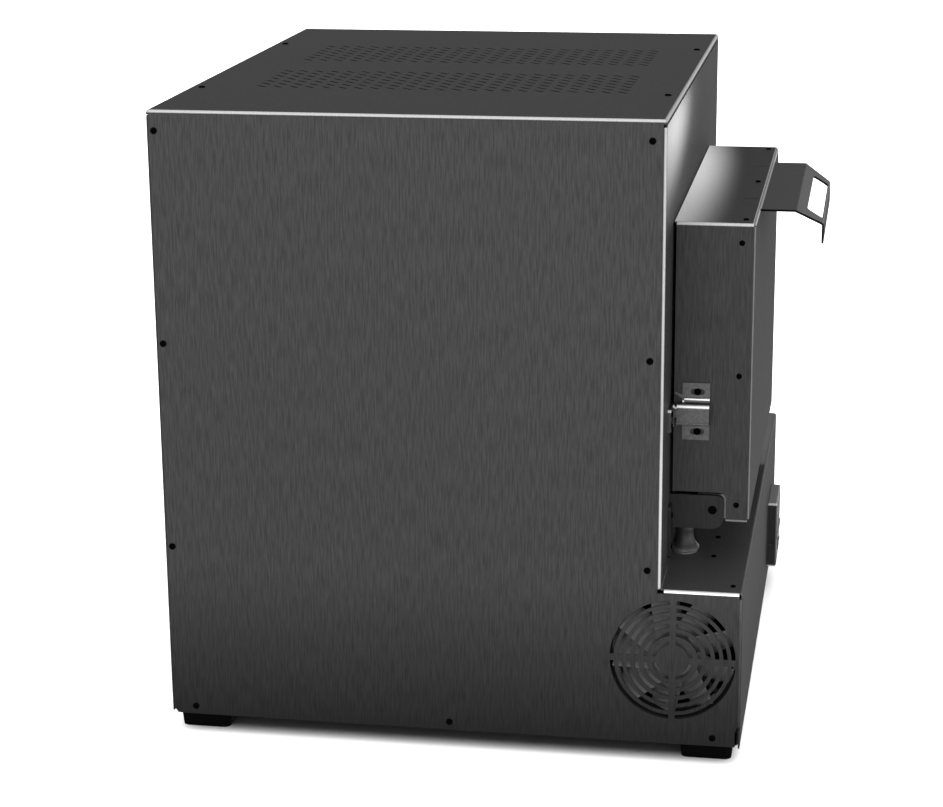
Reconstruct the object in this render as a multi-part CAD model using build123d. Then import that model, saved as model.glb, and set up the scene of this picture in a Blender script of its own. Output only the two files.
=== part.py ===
from build123d import *
from math import atan2, degrees, hypot
import os

# A floor-standing electric forge: a sheet-steel cabinet round a brick-lined chamber,
# with a drop-down door hinged at its lower edge and a cooled electronics bay below.
# Working frame: x = 0 at the middle of the width, y = 0 at the upper front face,
# z = 0 at the underside of the cabinet; the front looks along -y. The finished
# pieces are moved so that the origin is the bottom centre of the whole machine.

# Cabinet sizes
cabinet_width = 600.0
rear_room = 57.8
cabinet_height = 580.0
shelf_height = 151.0
shelf_depth = 74.5
sheet = 1.5
bend = 3.0
corner_radius = 8.0
edge_lip = 20.0
shelf_lip = 5.0
front_lip = 5.0
lower_relief = 1.5
cover_side_lip = 6.5
cover_front_lip = 4.2
cover_gap = 1.3
seam = 0.5
foot_height = 17.0
foot_length = 50.0
foot_width = 40.0
foot_inset = 12.0
foot_front_inset = 6.5
foot_rear_inset = 4.0

# Side panel screws
screw_from_end = 18.5
screw_from_front = 12.3
screw_from_rear = 7.7
bottom_screw_height = 9.4
bottom_screw_from_front = 25.0
bottom_screw_from_rear = 24.2
screw_head_radius = 3.1
screw_head_height = 1.2
screw_shank_radius = 1.9
screw_length = 8.0
screw_hole_clearance = 0.2
thread_clearance = 0.05
small_head_radius = 2.6
tiny_head_radius = 2.4
short_screw_length = 5.0

# Shelf screws
inner_screw_offset = 79.5
outer_screw_offset = 24.2
door_row_y = -40.8
corner_screw_x = 279.9
corner_row_y = -64.4

# Top cover
cover_screw_x = 160.0
cover_screw_inset = 12.5
rail_width = 22.0
slot_field_inner = 36.0
slot_field_front = 56.0
slot_rows = 7
slot_columns = 23
slot_pitch_x = 17.5
slot_pitch_y = 15.6
slot_length = 15.0
slot_width = 3.2
slot_angle = 45.0

# Fan and its grille
fan_y = -11.8
fan_z = 84.0
fan_size = 120.0
fan_thickness = 25.0
fan_bore = 58.0
fan_standoff = 2.0
fan_screw_inset = 7.5
fan_hub_radius = 20.0
fan_blade_reach = 56.0
fan_blade_count = 9
fan_blade_chord = 27.0
fan_blade_thickness = 1.6
fan_blade_pitch = 35.0
fan_shaft_radius = 2.0
fan_spider_radius = 22.0
fan_spider_thickness = 2.5
grille_ring_radii = (17.0, 25.5, 33.4, 41.1, 48.6, 55.9)
grille_ring_width = 3.9
grille_spoke = 6.2
running_clearance = 0.05

# Door
door_width = 410.0
door_height = 282.0
door_bottom = 194.0
door_centre_x = -20.0
door_gap = 3.0
brow_gap = 1.0
door_depth = 71.0
door_screw_inset = 12.0
door_screw_heights = (211.0, 334.5, 458.3)
door_top_screw_offset = 187.0
door_front_lip = 19.0
door_front_bend = 1.8
top_slit_offset = 86.0
top_slit_width = 1.4
top_slit_length = 16.0

# Chamber and its lining
chamber_width = 220.0
chamber_height = 160.0
chamber_depth = 300.0
brick = 64.0
fibre = 25.0
casing_sheet = 1.2
mouth_recess = 18.0
mouth_width = 300.0
mouth_height = 230.0
plug_clearance = 10.0
plug_side_clearance = 5.0
plug_reach = 15.0
slab_inset = 12.0
slab_gap = 4.0
slab_screw_gap = 1.2
gasket_width = 12.0
gasket_margin = 2.0
gasket_clearance = 0.4

# Heating elements
element_radius = 4.5
element_rows = 4
element_pitch = 38.0
element_first = 23.0
element_front = 32.0
element_rear = 18.0
groove_depth = 13.0
groove_width = 13.0
element_tail = 48.0
bush_wall = 1.5
bush_clearance = 0.3
bush_tail = 12.0
bar_gap = 16.0
bar_depth = 16.0
bar_margin = 14.0
bar_foot = 10.0
probe_reach = 40.0
probe_radius = 5.0
probe_head_radius = 11.0
probe_head_length = 22.0

# Hinge
pin_y = -40.0
pin_height = 204.5
pin_radius = 4.2
pin_length = 21.0
ear_recess = 1.8
ear_thickness = 4.0
ear_clearance = 1.2
ear_low = 186.0
ear_high = 218.5
ear_front = -50.5
ear_corner = 11.0
ear_upper_corner = 6.5
ear_sweep = 19.5
notch_height = 222.3
notch_front = -52.5
notch_corner = 7.0
hinge_flange_low = 160.0
hinge_flange_high = 210.0
hinge_flange_outset = 16.0
hinge_flange_thickness = 3.0
pivot_block_length = 20.0
pivot_block_wall = 3.0
pivot_block_reach = 14.0

# Door switch
switch_offset = 39.0
switch_y = -11.5
switch_radius = 9.0
switch_flare_radius = 14.2
switch_flare_low = 3.0
switch_flare_high = 5.0
switch_flare_waist = (10.6, 10.0)
switch_foot_radius = 12.6
switch_foot_height = 1.5
switch_flat_y = -1.8
switch_neck_height = 22.0
switch_tail = 30.0
switch_nut = 14.0
switch_nut_height = 3.0
switch_top = 187.0
plunger_radius = 4.0
plunger_gap = 0.4
plunger_travel = 3.0
plunger_depth = 20.0

# Side catches
clip_low = 272.8
clip_high = 327.0
clip_front = -36.0
clip_rear = -10.8
clip_sheet = 1.2
clip_bend = 3.4
hat_low = 289.5
hat_high = 307.1
hat_rear = -6.5
hat_depth = 10.0
curl_radius = 2.2
curl_height = 311.0
clip_slot_y = -24.7
clip_slot_heights = (280.8, 318.7)
clip_slot_length = 12.8
clip_slot_width = 5.6
clip_head_radius = 3.3
guide_length = 9.0
guide_width = 2.6
guide_tilt = 30.0
guide_rise = 2.5
tongue_low = 294.8
tongue_high = 305.3
tongue_thickness = 5.0
tongue_reach = 20.0
striker_plate = 3.0
striker_width = 26.0
striker_low = 285.2
striker_high = 307.6
boss_reach = 4.4

# Handle
handle_sheet = 2.0
handle_x = -24.0
handle_width = 247.0
handle_lip_width = 211.0
handle_flat_reach = 32.0
handle_slope_reach = 25.6
handle_slope_drop = 15.6
handle_lip_drop = 18.9
handle_bend = 3.4
handle_tail = 34.0
window_width = 172.0
window_start = 11.0
window_length = 17.2
window_corner = 4.0

# Control unit on the lower front
control_x = 198.0
control_z = 49.7
control_width = 72.0
control_height = 73.0
control_reach = 9.5
control_body_width = 66.0
control_body_low = 24.0
control_body_high = 80.0
control_body_depth = 84.0
control_hole_gap = 0.5
control_corner = 2.5
case_notch = 1.5
window_glass_width = 56.0
window_glass_height = 23.0
window_glass_z = 67.5
window_glass_depth = 2.0
glass_gap = 0.2
key_width = 10.5
key_height = 6.5
key_pitch = 15.0
key_z = 46.0
key_proud = 1.2
key_travel = 1.0
key_gap = 0.25
key_depth = 5.0
rocker_z = 27.0
rocker_length = 16.0
rocker_width = 14.0
rocker_nose = 5.4
rocker_heel = 2.4
rocker_dip = 1.4
rocker_tilt = 8.0
rocker_pivot_depth = 5.6
rocker_gap = 1.6
rocker_side_gap = 0.4
rocker_axle_radius = 1.5
switch_wall = 1.5
lamp_radius = 3.0
lamp_offset = 24.0

# Cooling slots of the side and the rear
vent_columns = 12
vent_rows = 2
vent_pitch_x = 11.0
vent_pitch_z = 36.0
vent_width = 4.0
vent_height = 28.0
vent_from_rear = 120.0
rear_vent_x = -150.0
upper_vent_z = 520.0
upper_vent_columns = 16
upper_vent_pitch = 14.0
upper_vent_height = 26.0
rear_screw_x = 200.0
rear_screw_drop = 14.0

# Electronics bay
support_width = 20.0
support_front = 30.0
support_rear = 400.0
standoff_radius = 10.0
standoff_inset = 30.0
sink_x = -180.0
sink_y = 180.0
sink_width = 120.0
sink_depth = 150.0
sink_height = 45.0
sink_plate = 6.0
sink_fins = 12
sink_fin = 2.5
relay_width = 45.0
relay_depth = 58.0
relay_height = 28.0
relay_inset = 10.0
relay_step_height = 20.0
relay_step_width = 12.0
relay_step_depth = 14.0
contactor_x = 20.0
contactor_y = 200.0
contactor_width = 45.0
contactor_depth = 86.0
contactor_height = 50.0
contactor_cap = 78.0
contactor_cap_inset = 4.0
contactor_cap_setback = 14.0
contactor_poles = 3
contactor_pole_width = 9.0
contactor_pole_depth = 9.0
contactor_pole_pitch = 14.0
contactor_pole_height = 34.0
inlet_x = 215.0
inlet_z = 62.0
inlet_width = 50.0
inlet_height = 28.0
inlet_flange = 3.0
inlet_body_depth = 30.0
inlet_body_width = 33.0
inlet_body_height = 24.0
inlet_socket_width = 28.0
inlet_socket_height = 19.0
inlet_hole_clearance = 0.5
inlet_floor = 6.0
inlet_blade_pitch = 8.0
inlet_blade_length = 20.0
inlet_blade_height = 6.0
inlet_blade_thickness = 2.0
inlet_blade_offset = 2.0
inlet_screw_offset = 20.5

# Values worked out from the sizes above
half_width = cabinet_width / 2
thread_radius = screw_shank_radius + thread_clearance
skin_x = half_width - sheet
flat_x = skin_x - bend
lower_front = -shelf_depth
door_left = door_centre_x - door_width / 2
door_right = door_centre_x + door_width / 2
door_top = door_bottom + door_height
door_rear = -door_gap
door_front = door_rear - door_depth
fascia_top = cabinet_height - cover_front_lip - cover_gap
chamber_z = door_bottom + door_height / 2
chamber_low = chamber_z - chamber_height / 2
chamber_high = chamber_z + chamber_height / 2
brick_half = chamber_width / 2 + brick
brick_low = chamber_low - brick
brick_high = chamber_high + brick
brick_rear = mouth_recess + chamber_depth + brick
casing_half = brick_half + fibre + casing_sheet
casing_low = brick_low - fibre - casing_sheet
casing_high = brick_high + fibre + casing_sheet
casing_rear = brick_rear + fibre + casing_sheet
cabinet_depth = casing_rear + rear_room
handle_top = door_top - sheet - 0.1
machine_front = door_front - handle_flat_reach - handle_slope_reach
machine_rear = cabinet_depth + inlet_flange + screw_head_height
machine_shift = Pos(0, -(machine_front + machine_rear) / 2, foot_height)
shield_low = shelf_height - sheet / 2


# Shapes used by many pieces
def block(x0, x1, y0, y1, z0, z1):
    return Pos((x0 + x1) / 2, (y0 + y1) / 2, (z0 + z1) / 2) * Box(x1 - x0, y1 - y0, z1 - z0)


def prism(axis, face, low, high):
    if axis == "x":
        plane = Plane.YZ.offset(low)
    elif axis == "y":
        plane = Plane.XZ.offset(-high)
    else:
        plane = Plane.XY.offset(low)
    return extrude(plane * face, high - low, dir=plane.z_dir)


def rod(axis, centre, radius, low, high):
    return prism(axis, Pos(*centre) * Circle(radius), low, high)


def shifted_points(points, distance):
    lines = []
    for (ax, ay), (bx, by) in zip(points, points[1:]):
        length = hypot(bx - ax, by - ay)
        nx, ny = -(by - ay) / length * distance, (bx - ax) / length * distance
        lines.append(((ax + nx, ay + ny), (bx + nx, by + ny)))
    result = [lines[0][0]]
    for ((ax, ay), (bx, by)), ((cx, cy), (dx, dy)) in zip(lines, lines[1:]):
        cross = (bx - ax) * (dy - cy) - (by - ay) * (dx - cx)
        along = ((cx - ax) * (dy - cy) - (cy - ay) * (dx - cx)) / cross
        result.append((ax + along * (bx - ax), ay + along * (by - ay)))
    result.append(lines[-1][1])
    return result


def sheet_section(points, thickness, radius, side=1):
    # The given points are one surface of the sheet; its thickness lies to their left
    # when side is 1 and to their right when it is -1.
    other = shifted_points(points, thickness * side)
    given_radii, other_radii = [], []
    for (ax, ay), (bx, by), (cx, cy) in zip(points, points[1:], points[2:]):
        turn = (bx - ax) * (cy - by) - (by - ay) * (cx - bx)
        outside = turn * side > 0
        given_radii.append(radius if outside else radius - thickness)
        other_radii.append(radius - thickness if outside else radius)
    first = FilletPolyline(*points, radius=given_radii)
    second = FilletPolyline(*other, radius=other_radii)
    ends = [Line(points[0], other[0]), Line(points[-1], other[-1])]
    return make_face(first.edges() + second.edges() + ends)


def bent(axis, points, low, high, side=1, thickness=sheet, radius=bend):
    return prism(axis, sheet_section(points, thickness, radius, side), low, high)


def both_sides(shape):
    return shape + mirror(shape, Plane.YZ)


def about_door(shape):
    middle = Plane.YZ.offset(door_centre_x)
    return mirror(shape, middle)


def group(shapes):
    return Compound([solid for shape in shapes for solid in shape.solids()])


def screw(place, direction, head_radius=screw_head_radius, length=screw_length):
    # A low button head with a hexagon socket; place is on the clamped surface.
    head = Cylinder(head_radius, screw_head_height, align=(Align.CENTER, Align.CENTER, Align.MIN))
    head = fillet(head.edges().filter_by(GeomType.CIRCLE).sort_by(Axis.Z)[-1], screw_head_height * 0.6)
    socket = extrude(Plane.XY.offset(screw_head_height * 0.4) * RegularPolygon(head_radius * 0.42, 6), 2)
    shank = Pos(0, 0, -length / 2) * Cylinder(screw_shank_radius, length)
    return Plane(origin=place, z_dir=direction) * (head - socket + shank)


def drill(axis, places, low, high, radius=screw_shank_radius + screw_hole_clearance):
    return [rod(axis, place, radius, low, high) for place in places]


def side_screw_places():
    low, high = shelf_height + screw_from_end, cabinet_height - screw_from_end
    places = []
    for height in (low, (low + high) / 2, high):
        places.append((screw_from_front, height))
        places.append((cabinet_depth - screw_from_rear, height))
    front = lower_front + bottom_screw_from_front
    rear = cabinet_depth - bottom_screw_from_rear
    return places + [(y, bottom_screw_height) for y in (front, (front + rear) / 2, rear)]


# Cabinet sheets
def side_panel_outline():
    lower_edge = lower_front + bend
    outline = Polyline(
        (lower_edge + lower_relief, sheet),
        (lower_edge + lower_relief, edge_lip),
        (lower_edge, edge_lip),
        (lower_edge, shelf_height - bend),
        (bend, shelf_height - bend),
        (bend, cabinet_height - bend),
        (cabinet_depth - bend, cabinet_height - bend),
        (cabinet_depth - bend, sheet),
        close=True,
    )
    face = make_face(outline)
    rear = face.vertices().group_by(Axis.X)[-1].sort_by(Axis.Y)
    face = fillet(rear[0], corner_radius)
    upper = face.vertices().group_by(Axis.X)[-1].sort_by(Axis.Y)[-1]
    return fillet(upper, bend)


def fan_grille():
    openings = Sketch()
    for radius in grille_ring_radii:
        ring = Circle(radius + grille_ring_width / 2) - Circle(radius - grille_ring_width / 2)
        openings += ring
    reach = 2 * (grille_ring_radii[-1] + grille_ring_width)
    openings -= Rectangle(reach, grille_spoke)
    openings -= Rectangle(grille_spoke, reach)
    return Pos(fan_y, fan_z) * openings


def louvre_field(centre, columns=vent_columns, rows=vent_rows, pitch=vent_pitch_x, height=vent_height):
    slots = Sketch()
    for place in GridLocations(pitch, vent_pitch_z, columns, rows):
        slots += place * Rot(0, 0, 90) * SlotOverall(height, vent_width)
    return Pos(*centre) * slots


def side_panel(side):
    low, high = sorted((side * half_width, side * skin_x))
    panel = prism("x", side_panel_outline(), low, high)
    panel -= drill("x", side_screw_places(), low - 1, high + 1)
    if side < 0:
        openings = fan_grille()
    else:
        openings = louvre_field((cabinet_depth - vent_from_rear, fan_z))
    return panel - prism("x", openings, low - 1, high + 1)


def front_fascia():
    path = [(0, fascia_top), (0, shelf_height), (lower_front, shelf_height), (lower_front, 0)]
    fascia = bent("x", path, -flat_x, flat_x)
    fascia += block(-skin_x, skin_x, lower_front, lower_front + sheet, 0, edge_lip)
    overlap = flat_x - 1
    lip_low = shelf_height + seam
    lip_high = min(fascia_top, cabinet_height - cover_side_lip - seam)
    upper = [(-overlap, 0), (-skin_x, 0), (-skin_x, edge_lip)]
    shelf = [(-overlap, shelf_height), (-skin_x, shelf_height), (-skin_x, shelf_height - shelf_lip)]
    lower = [(-overlap, lower_front), (-skin_x, lower_front), (-skin_x, lower_front + front_lip)]
    lips = bent("z", upper, lip_low, lip_high, side=-1)
    lips += bent("y", shelf, lower_front + bend + seam, -bend)
    lips += bent("z", lower, edge_lip, shelf_height - shelf_lip - seam, side=-1)
    fascia += both_sides(lips)
    top_band = block(-flat_x, flat_x, 0, sheet, fascia_top - 1, fascia_top)
    fascia += top_band
    mouth = Pos(door_centre_x, chamber_z) * RectangleRounded(mouth_width, mouth_height, bend)
    fascia -= prism("y", mouth, -1, sheet + 1)
    half = control_body_width / 2 + control_hole_gap
    fascia -= block(control_x - half, control_x + half, lower_front - 1, lower_front + sheet + 1,
                    control_body_low - control_hole_gap, control_body_high + control_hole_gap)
    fascia -= rod("z", (door_left + switch_offset, switch_y), switch_radius + 0.3,
                  shelf_height - sheet - 1, shelf_height + 1)
    fascia -= drill("z", shelf_screw_places(), shelf_height - 2 * sheet, shelf_height + 1)
    fascia -= drill("x", side_screw_places(), -skin_x - 1, skin_x + 1, thread_radius)
    fitting_places = [(x, z) for x, z, reach in front_fitting_places()]
    return fascia - drill("y", fitting_places, -1, sheet + 1)


def shelf_screw_places():
    near = [(door_left + offset, door_row_y) for offset in (inner_screw_offset, outer_screw_offset)]
    far = [(2 * door_centre_x - x, y) for x, y in near]
    return near + far + [(-corner_screw_x, corner_row_y), (corner_screw_x, corner_row_y)]


def rear_panel():
    path = [(cabinet_depth, sheet + seam), (cabinet_depth, fascia_top)]
    low, high = path[0][1], path[1][1]
    panel = block(-flat_x, flat_x, cabinet_depth - sheet, cabinet_depth, low, high)
    edge = [(-flat_x + 1, cabinet_depth), (-skin_x, cabinet_depth), (-skin_x, cabinet_depth - edge_lip)]
    lip_high = cabinet_height - cover_side_lip - seam
    panel += both_sides(bent("z", edge, edge_lip + seam, lip_high))
    upper_centre = (door_centre_x, upper_vent_z)
    vents = louvre_field(upper_centre, upper_vent_columns, 1, upper_vent_pitch, upper_vent_height)
    vents += louvre_field((rear_vent_x, fan_z))
    panel -= prism("y", vents, cabinet_depth - sheet - 1, cabinet_depth + 1)
    margin = 2 * inlet_hole_clearance
    inlet = Pos(inlet_x, inlet_z) * Rectangle(inlet_body_width + margin, inlet_body_height + margin)
    panel -= prism("y", inlet, cabinet_depth - sheet - 1, cabinet_depth + 1)
    panel -= drill("y", inlet_screw_places(), cabinet_depth - sheet - 1, cabinet_depth + 1)
    panel -= drill("x", side_screw_places(), -skin_x - 1, skin_x + 1, thread_radius)
    return panel - drill("y", rear_screw_places(), cabinet_depth - sheet - 1, cabinet_depth + 1)


def rear_screw_places():
    heights = (bottom_screw_height, fascia_top - rear_screw_drop)
    return [(x, z) for x in (-rear_screw_x, 0, rear_screw_x) for z in heights]


def base_pan():
    front, rear = lower_front + sheet, cabinet_depth - sheet
    pan = block(-flat_x, flat_x, front + bend, rear - bend, 0, sheet)
    side = [(-flat_x + 1, 0), (-skin_x, 0), (-skin_x, edge_lip)]
    front_path = [(front + bend + 1, 0), (front, 0), (front, edge_lip)]
    rear_path = [(rear - bend - 1, 0), (rear, 0), (rear, edge_lip)]
    pan += both_sides(bent("y", side, front + bend + seam, rear - bend - seam, side=-1))
    pan += bent("x", front_path, -flat_x + bend, flat_x - bend, side=-1)
    pan += bent("x", rear_path, -flat_x + bend, flat_x - bend)
    pan -= drill("x", side_screw_places(), -skin_x - 1, skin_x + 1, thread_radius)
    lower_places = [place for place in rear_screw_places() if place[1] == bottom_screw_height]
    return pan - drill("y", lower_places, rear - sheet - 1, rear + 1, thread_radius)


def top_cover():
    low = cabinet_height - sheet
    cover = block(-flat_x, flat_x, bend, cabinet_depth - bend, low, cabinet_height)
    side = [(-flat_x + 1, cabinet_height), (-skin_x, cabinet_height),
            (-skin_x, cabinet_height - cover_side_lip)]
    front = [(bend + 1, cabinet_height), (0, cabinet_height), (0, cabinet_height - cover_front_lip)]
    rear = [(cabinet_depth - y, z) for y, z in front]
    cover += both_sides(bent("y", side, bend, cabinet_depth - bend))
    cover += bent("x", front, -flat_x, flat_x)
    cover += bent("x", rear, -flat_x, flat_x, side=-1)
    near = cover_corner()
    far = mirror(near, Plane.XZ.offset(-cabinet_depth / 2))
    cover += both_sides(near) + both_sides(far)
    slots = Sketch()
    half_rows = (slot_rows - 1) * slot_pitch_x / 2
    half_columns = (slot_columns - 1) * slot_pitch_y / 2
    field_x = slot_field_inner + half_rows + slot_length / 3
    field_y = slot_field_front + half_columns
    for place in GridLocations(slot_pitch_x, slot_pitch_y, slot_rows, slot_columns):
        slots += place * Rot(0, 0, slot_angle) * SlotOverall(slot_length, slot_width)
    for side_sign in (-1, 1):
        cover -= prism("z", Pos(side_sign * field_x, field_y) * slots, low - 1, cabinet_height + 1)
    return cover - drill("z", cover_screw_places(), low - 1, cabinet_height + 1)


def cover_corner():
    # The drawn front left corner, where the side lip and the front lip run into one another.
    centre = (-flat_x, bend, cabinet_height - bend)
    shell = Pos(*centre) * Sphere(bend) - Pos(*centre) * Sphere(bend - sheet)
    shell &= block(-skin_x - 1, -flat_x, -1, bend, centre[2], cabinet_height + 1)
    low = cabinet_height - cover_front_lip
    wall = rod("z", centre[:2], bend, low, centre[2])
    wall -= rod("z", centre[:2], bend - sheet, low - 1, centre[2] + 1)
    return shell + (wall & block(-skin_x - 1, -flat_x, -1, bend, low, centre[2]))


def cover_screw_places():
    rows = (cover_screw_inset, cabinet_depth - cover_screw_inset)
    return [(x, y) for x in (-cover_screw_x, cover_screw_x) for y in rows]


def top_rails():
    high = cabinet_height - sheet
    path = [(sheet + rail_width, high), (sheet, high), (sheet, high - rail_width)]
    front = bent("x", path, -flat_x + bend, flat_x - bend)
    front -= drill("z", cover_screw_places(), high - 2 * sheet, high + 1, thread_radius)
    rear = mirror(front, Plane.XZ.offset(-cabinet_depth / 2))
    rear -= drill("y", [place for place in rear_screw_places() if place[1] > chamber_z],
                  cabinet_depth - 3 * sheet, cabinet_depth, thread_radius)
    return group([front, rear])


def feet():
    front = lower_front + foot_front_inset
    rear = cabinet_depth - foot_rear_inset - foot_length
    x = half_width - foot_inset - foot_width / 2
    pads = []
    for side in (-1, 1):
        for start in (front, rear):
            pad = Pos(side * x, start + foot_length / 2) * RectangleRounded(foot_width, foot_length, 8)
            pads.append(extrude(Plane.XY * pad, -foot_height, taper=6))
    return group(pads)


# Screws that hold the cabinet together
def side_panel_screws():
    left = [screw((-half_width, y, z), (-1, 0, 0)) for y, z in side_screw_places()]
    right = [screw((half_width, y, z), (1, 0, 0)) for y, z in side_screw_places()]
    return group(left + right)


def cover_screws():
    heads = [screw((x, y, cabinet_height), (0, 0, 1)) for x, y in cover_screw_places()]
    heads += [screw((x, cabinet_depth, z), (0, 1, 0)) for x, z in rear_screw_places()]
    inlet_face = cabinet_depth + inlet_flange
    heads += [screw((x, inlet_face, z), (0, 1, 0), small_head_radius) for x, z in inlet_screw_places()]
    return group(heads)


def inlet_screw_places():
    return [(inlet_x + side * inlet_screw_offset, inlet_z) for side in (-1, 1)]


def shelf_screws():
    return group([screw((x, y, shelf_height), (0, 0, 1), tiny_head_radius, short_screw_length)
                  for x, y in shelf_screw_places()])


# Chamber and lining
def chamber_casing():
    low_x, high_x = door_centre_x - casing_half, door_centre_x + casing_half
    outer = block(low_x, high_x, sheet, casing_rear, casing_low, casing_high)
    inner = block(low_x + casing_sheet, high_x - casing_sheet, sheet, casing_rear - casing_sheet,
                  casing_low + casing_sheet, casing_high - casing_sheet)
    return outer - inner - rear_passages(bush_clearance)


def rear_passages(clearance):
    radius = element_radius + bush_wall + clearance
    holes = [rod("y", place, radius, 0, cabinet_depth) for place in element_exits()]
    probe = rod("y", (door_centre_x, chamber_z), probe_radius + clearance, brick_rear - brick, cabinet_depth)
    return holes + [probe]


def element_x():
    return chamber_width / 2 + groove_depth / 2


def element_exits():
    low = chamber_low + element_first
    heights = (low, low + (element_rows - 1) * element_pitch)
    return [(door_centre_x + side * element_x(), height) for side in (-1, 1) for height in heights]


def mouth_collar():
    half = casing_half - casing_sheet
    collar = block(door_centre_x - half, door_centre_x + half, sheet, mouth_recess,
                   casing_low + casing_sheet, casing_high - casing_sheet)
    mouth = Pos(door_centre_x, chamber_z) * RectangleRounded(mouth_width + 2, mouth_height + 2, bend)
    return collar - prism("y", mouth, 0, mouth_recess + 1)


def fibre_insulation():
    half = casing_half - casing_sheet
    outer = block(door_centre_x - half, door_centre_x + half, mouth_recess, casing_rear - casing_sheet,
                  casing_low + casing_sheet, casing_high - casing_sheet)
    inner = block(door_centre_x - brick_half, door_centre_x + brick_half, mouth_recess, brick_rear,
                  brick_low, brick_high)
    return outer - inner - rear_passages(bush_clearance)


def lining_block(low_z, high_z, front, rear):
    return block(door_centre_x - brick_half, door_centre_x + brick_half, front, rear, low_z, high_z)


def serpentine(x):
    # Rear entry, runs forward and back up the wall, rear exit.
    rear = casing_rear + element_tail
    front_turn = mouth_recess + element_front
    rear_turn = mouth_recess + chamber_depth - element_rear - element_pitch / 2
    turn = element_pitch / 2
    height = chamber_low + element_first
    start = rear
    lines = []
    for row in range(element_rows):
        forward = row % 2 == 0
        last = row == element_rows - 1
        stop = front_turn + turn if forward else (rear if last else rear_turn)
        lines.append(Line((x, start, height), (x, stop, height)))
        if not last:
            bulge = stop - turn if forward else stop + turn
            lines.append(ThreePointArc((x, stop, height), (x, bulge, height + turn),
                                       (x, stop, height + element_pitch)))
        height += element_pitch
        start = stop
    return Wire([edge for line in lines for edge in line.edges()])


def side_bricks():
    bricks = []
    for side in (-1, 1):
        inner = door_centre_x + side * chamber_width / 2
        outer = door_centre_x + side * brick_half
        low, high = sorted((inner, outer))
        side_brick = block(low, high, mouth_recess, mouth_recess + chamber_depth, chamber_low, chamber_high)
        low, high = sorted((inner - side, inner + side * groove_depth))
        turn = element_pitch / 2
        front = mouth_recess + element_front + turn
        rear = mouth_recess + chamber_depth - element_rear - turn
        for row in range(element_rows):
            height = chamber_low + element_first + row * element_pitch
            through = mouth_recess + chamber_depth + 1
            stop = through if row in (0, element_rows - 1) else rear
            half_groove = groove_width / 2
            side_brick -= block(low, high, front, stop, height - half_groove, height + half_groove)
            if row < element_rows - 1:
                centre, half = (front, -1) if row % 2 == 0 else (rear, 1)
                ring = Circle(turn + half_groove) - Circle(turn - half_groove)
                ring -= Pos(-half * element_pitch, 0) * Rectangle(2 * element_pitch, 2 * element_pitch)
                side_brick -= prism("x", Pos(centre, height + turn) * ring, low, high)
        bricks.append(side_brick)
    return group(bricks)


def rear_brick():
    front = mouth_recess + chamber_depth
    back = lining_block(chamber_low, chamber_high, front, brick_rear)
    return back - rear_passages(bush_clearance)


def heating_elements():
    elements = []
    for side in (-1, 1):
        path = serpentine(door_centre_x + side * element_x())
        start = Plane(origin=path @ 0, z_dir=path % 0)
        elements.append(sweep(start * Circle(element_radius), path=path))
    return group(elements)


def element_bushes():
    bushes = []
    for place in element_exits():
        tube = rod("y", place, element_radius + bush_wall, brick_rear - brick, casing_rear + bush_tail)
        bushes.append(tube - rod("y", place, element_radius + bush_clearance, 0, cabinet_depth))
    return group(bushes)


def terminal_block():
    # A ceramic bar behind each pair of element ends, on a foot against the casing.
    bars = []
    front = casing_rear + bar_gap
    rear = front + bar_depth
    for side in (-1, 1):
        x = door_centre_x + side * element_x()
        low, high = [z for exit_x, z in element_exits() if exit_x == x]
        bar = block(x - bar_margin, x + bar_margin, front, rear, low - bar_margin, high + bar_margin)
        for height in (low, high):
            bar -= rod("y", (x, height), element_radius + bush_clearance, front - 1, rear + 1)
        bars.append(bar + block(x - bar_foot, x + bar_foot, casing_rear, front,
                                chamber_z - bar_foot, chamber_z + bar_foot))
    return group(bars)


def thermocouple():
    centre = (door_centre_x, chamber_z)
    sheath = rod("y", centre, probe_radius, brick_rear - brick - probe_reach, casing_rear + 1)
    sheath = fillet(sheath.edges().sort_by(Axis.Y)[0], probe_radius * 0.7)
    return sheath + rod("y", centre, probe_head_radius, casing_rear, casing_rear + probe_head_length)


# Electronics bay
def bay_frame():
    channels = []
    for side in (-1, 1):
        outer = door_centre_x + side * (casing_half - 2)
        inner = outer - side * support_width
        path = [(inner, sheet), (outer, sheet), (outer, shield_low), (inner, shield_low)]
        channels.append(bent("y", path, support_front, support_rear, side=1 if side > 0 else -1))
    return group(channels)


def heat_shield():
    reach = skin_x - 2 * sheet
    margin = edge_lip + 2
    return block(-reach, reach, margin, cabinet_depth - margin, shield_low, shield_low + sheet)


def chamber_standoffs():
    legs = []
    high = casing_low
    for side in (-1, 1):
        x = door_centre_x + side * (casing_half - 2 - support_width / 2)
        for y in (support_front + standoff_inset, support_rear - standoff_inset):
            legs.append(rod("z", (x, y), standoff_radius, shield_low + sheet, high))
    return group(legs)


def fan_frame():
    low = -skin_x + fan_standoff
    high = low + fan_thickness
    frame = prism("x", Pos(fan_y, fan_z) * RectangleRounded(fan_size, fan_size, 4), low, high)
    frame -= rod("x", (fan_y, fan_z), fan_bore, low - 1, high + 1)
    spider_low = high - fan_spider_thickness
    spider = Circle(fan_spider_radius)
    spider += Rot(0, 0, 45) * Rectangle(2 * fan_bore + 2, 5)
    spider += Rot(0, 0, -45) * Rectangle(2 * fan_bore + 2, 5)
    frame += prism("x", Pos(fan_y, fan_z) * spider, spider_low, high)
    frame += rod("x", (fan_y, fan_z), fan_shaft_radius, low + 6, spider_low + 1)
    return frame - drill("x", fan_screw_places(), low - 1, high + 1)


def fan_screw_places():
    corner = fan_size / 2 - fan_screw_inset
    return [(fan_y + a * corner, fan_z + b * corner) for a in (-1, 1) for b in (-1, 1)]


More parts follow.
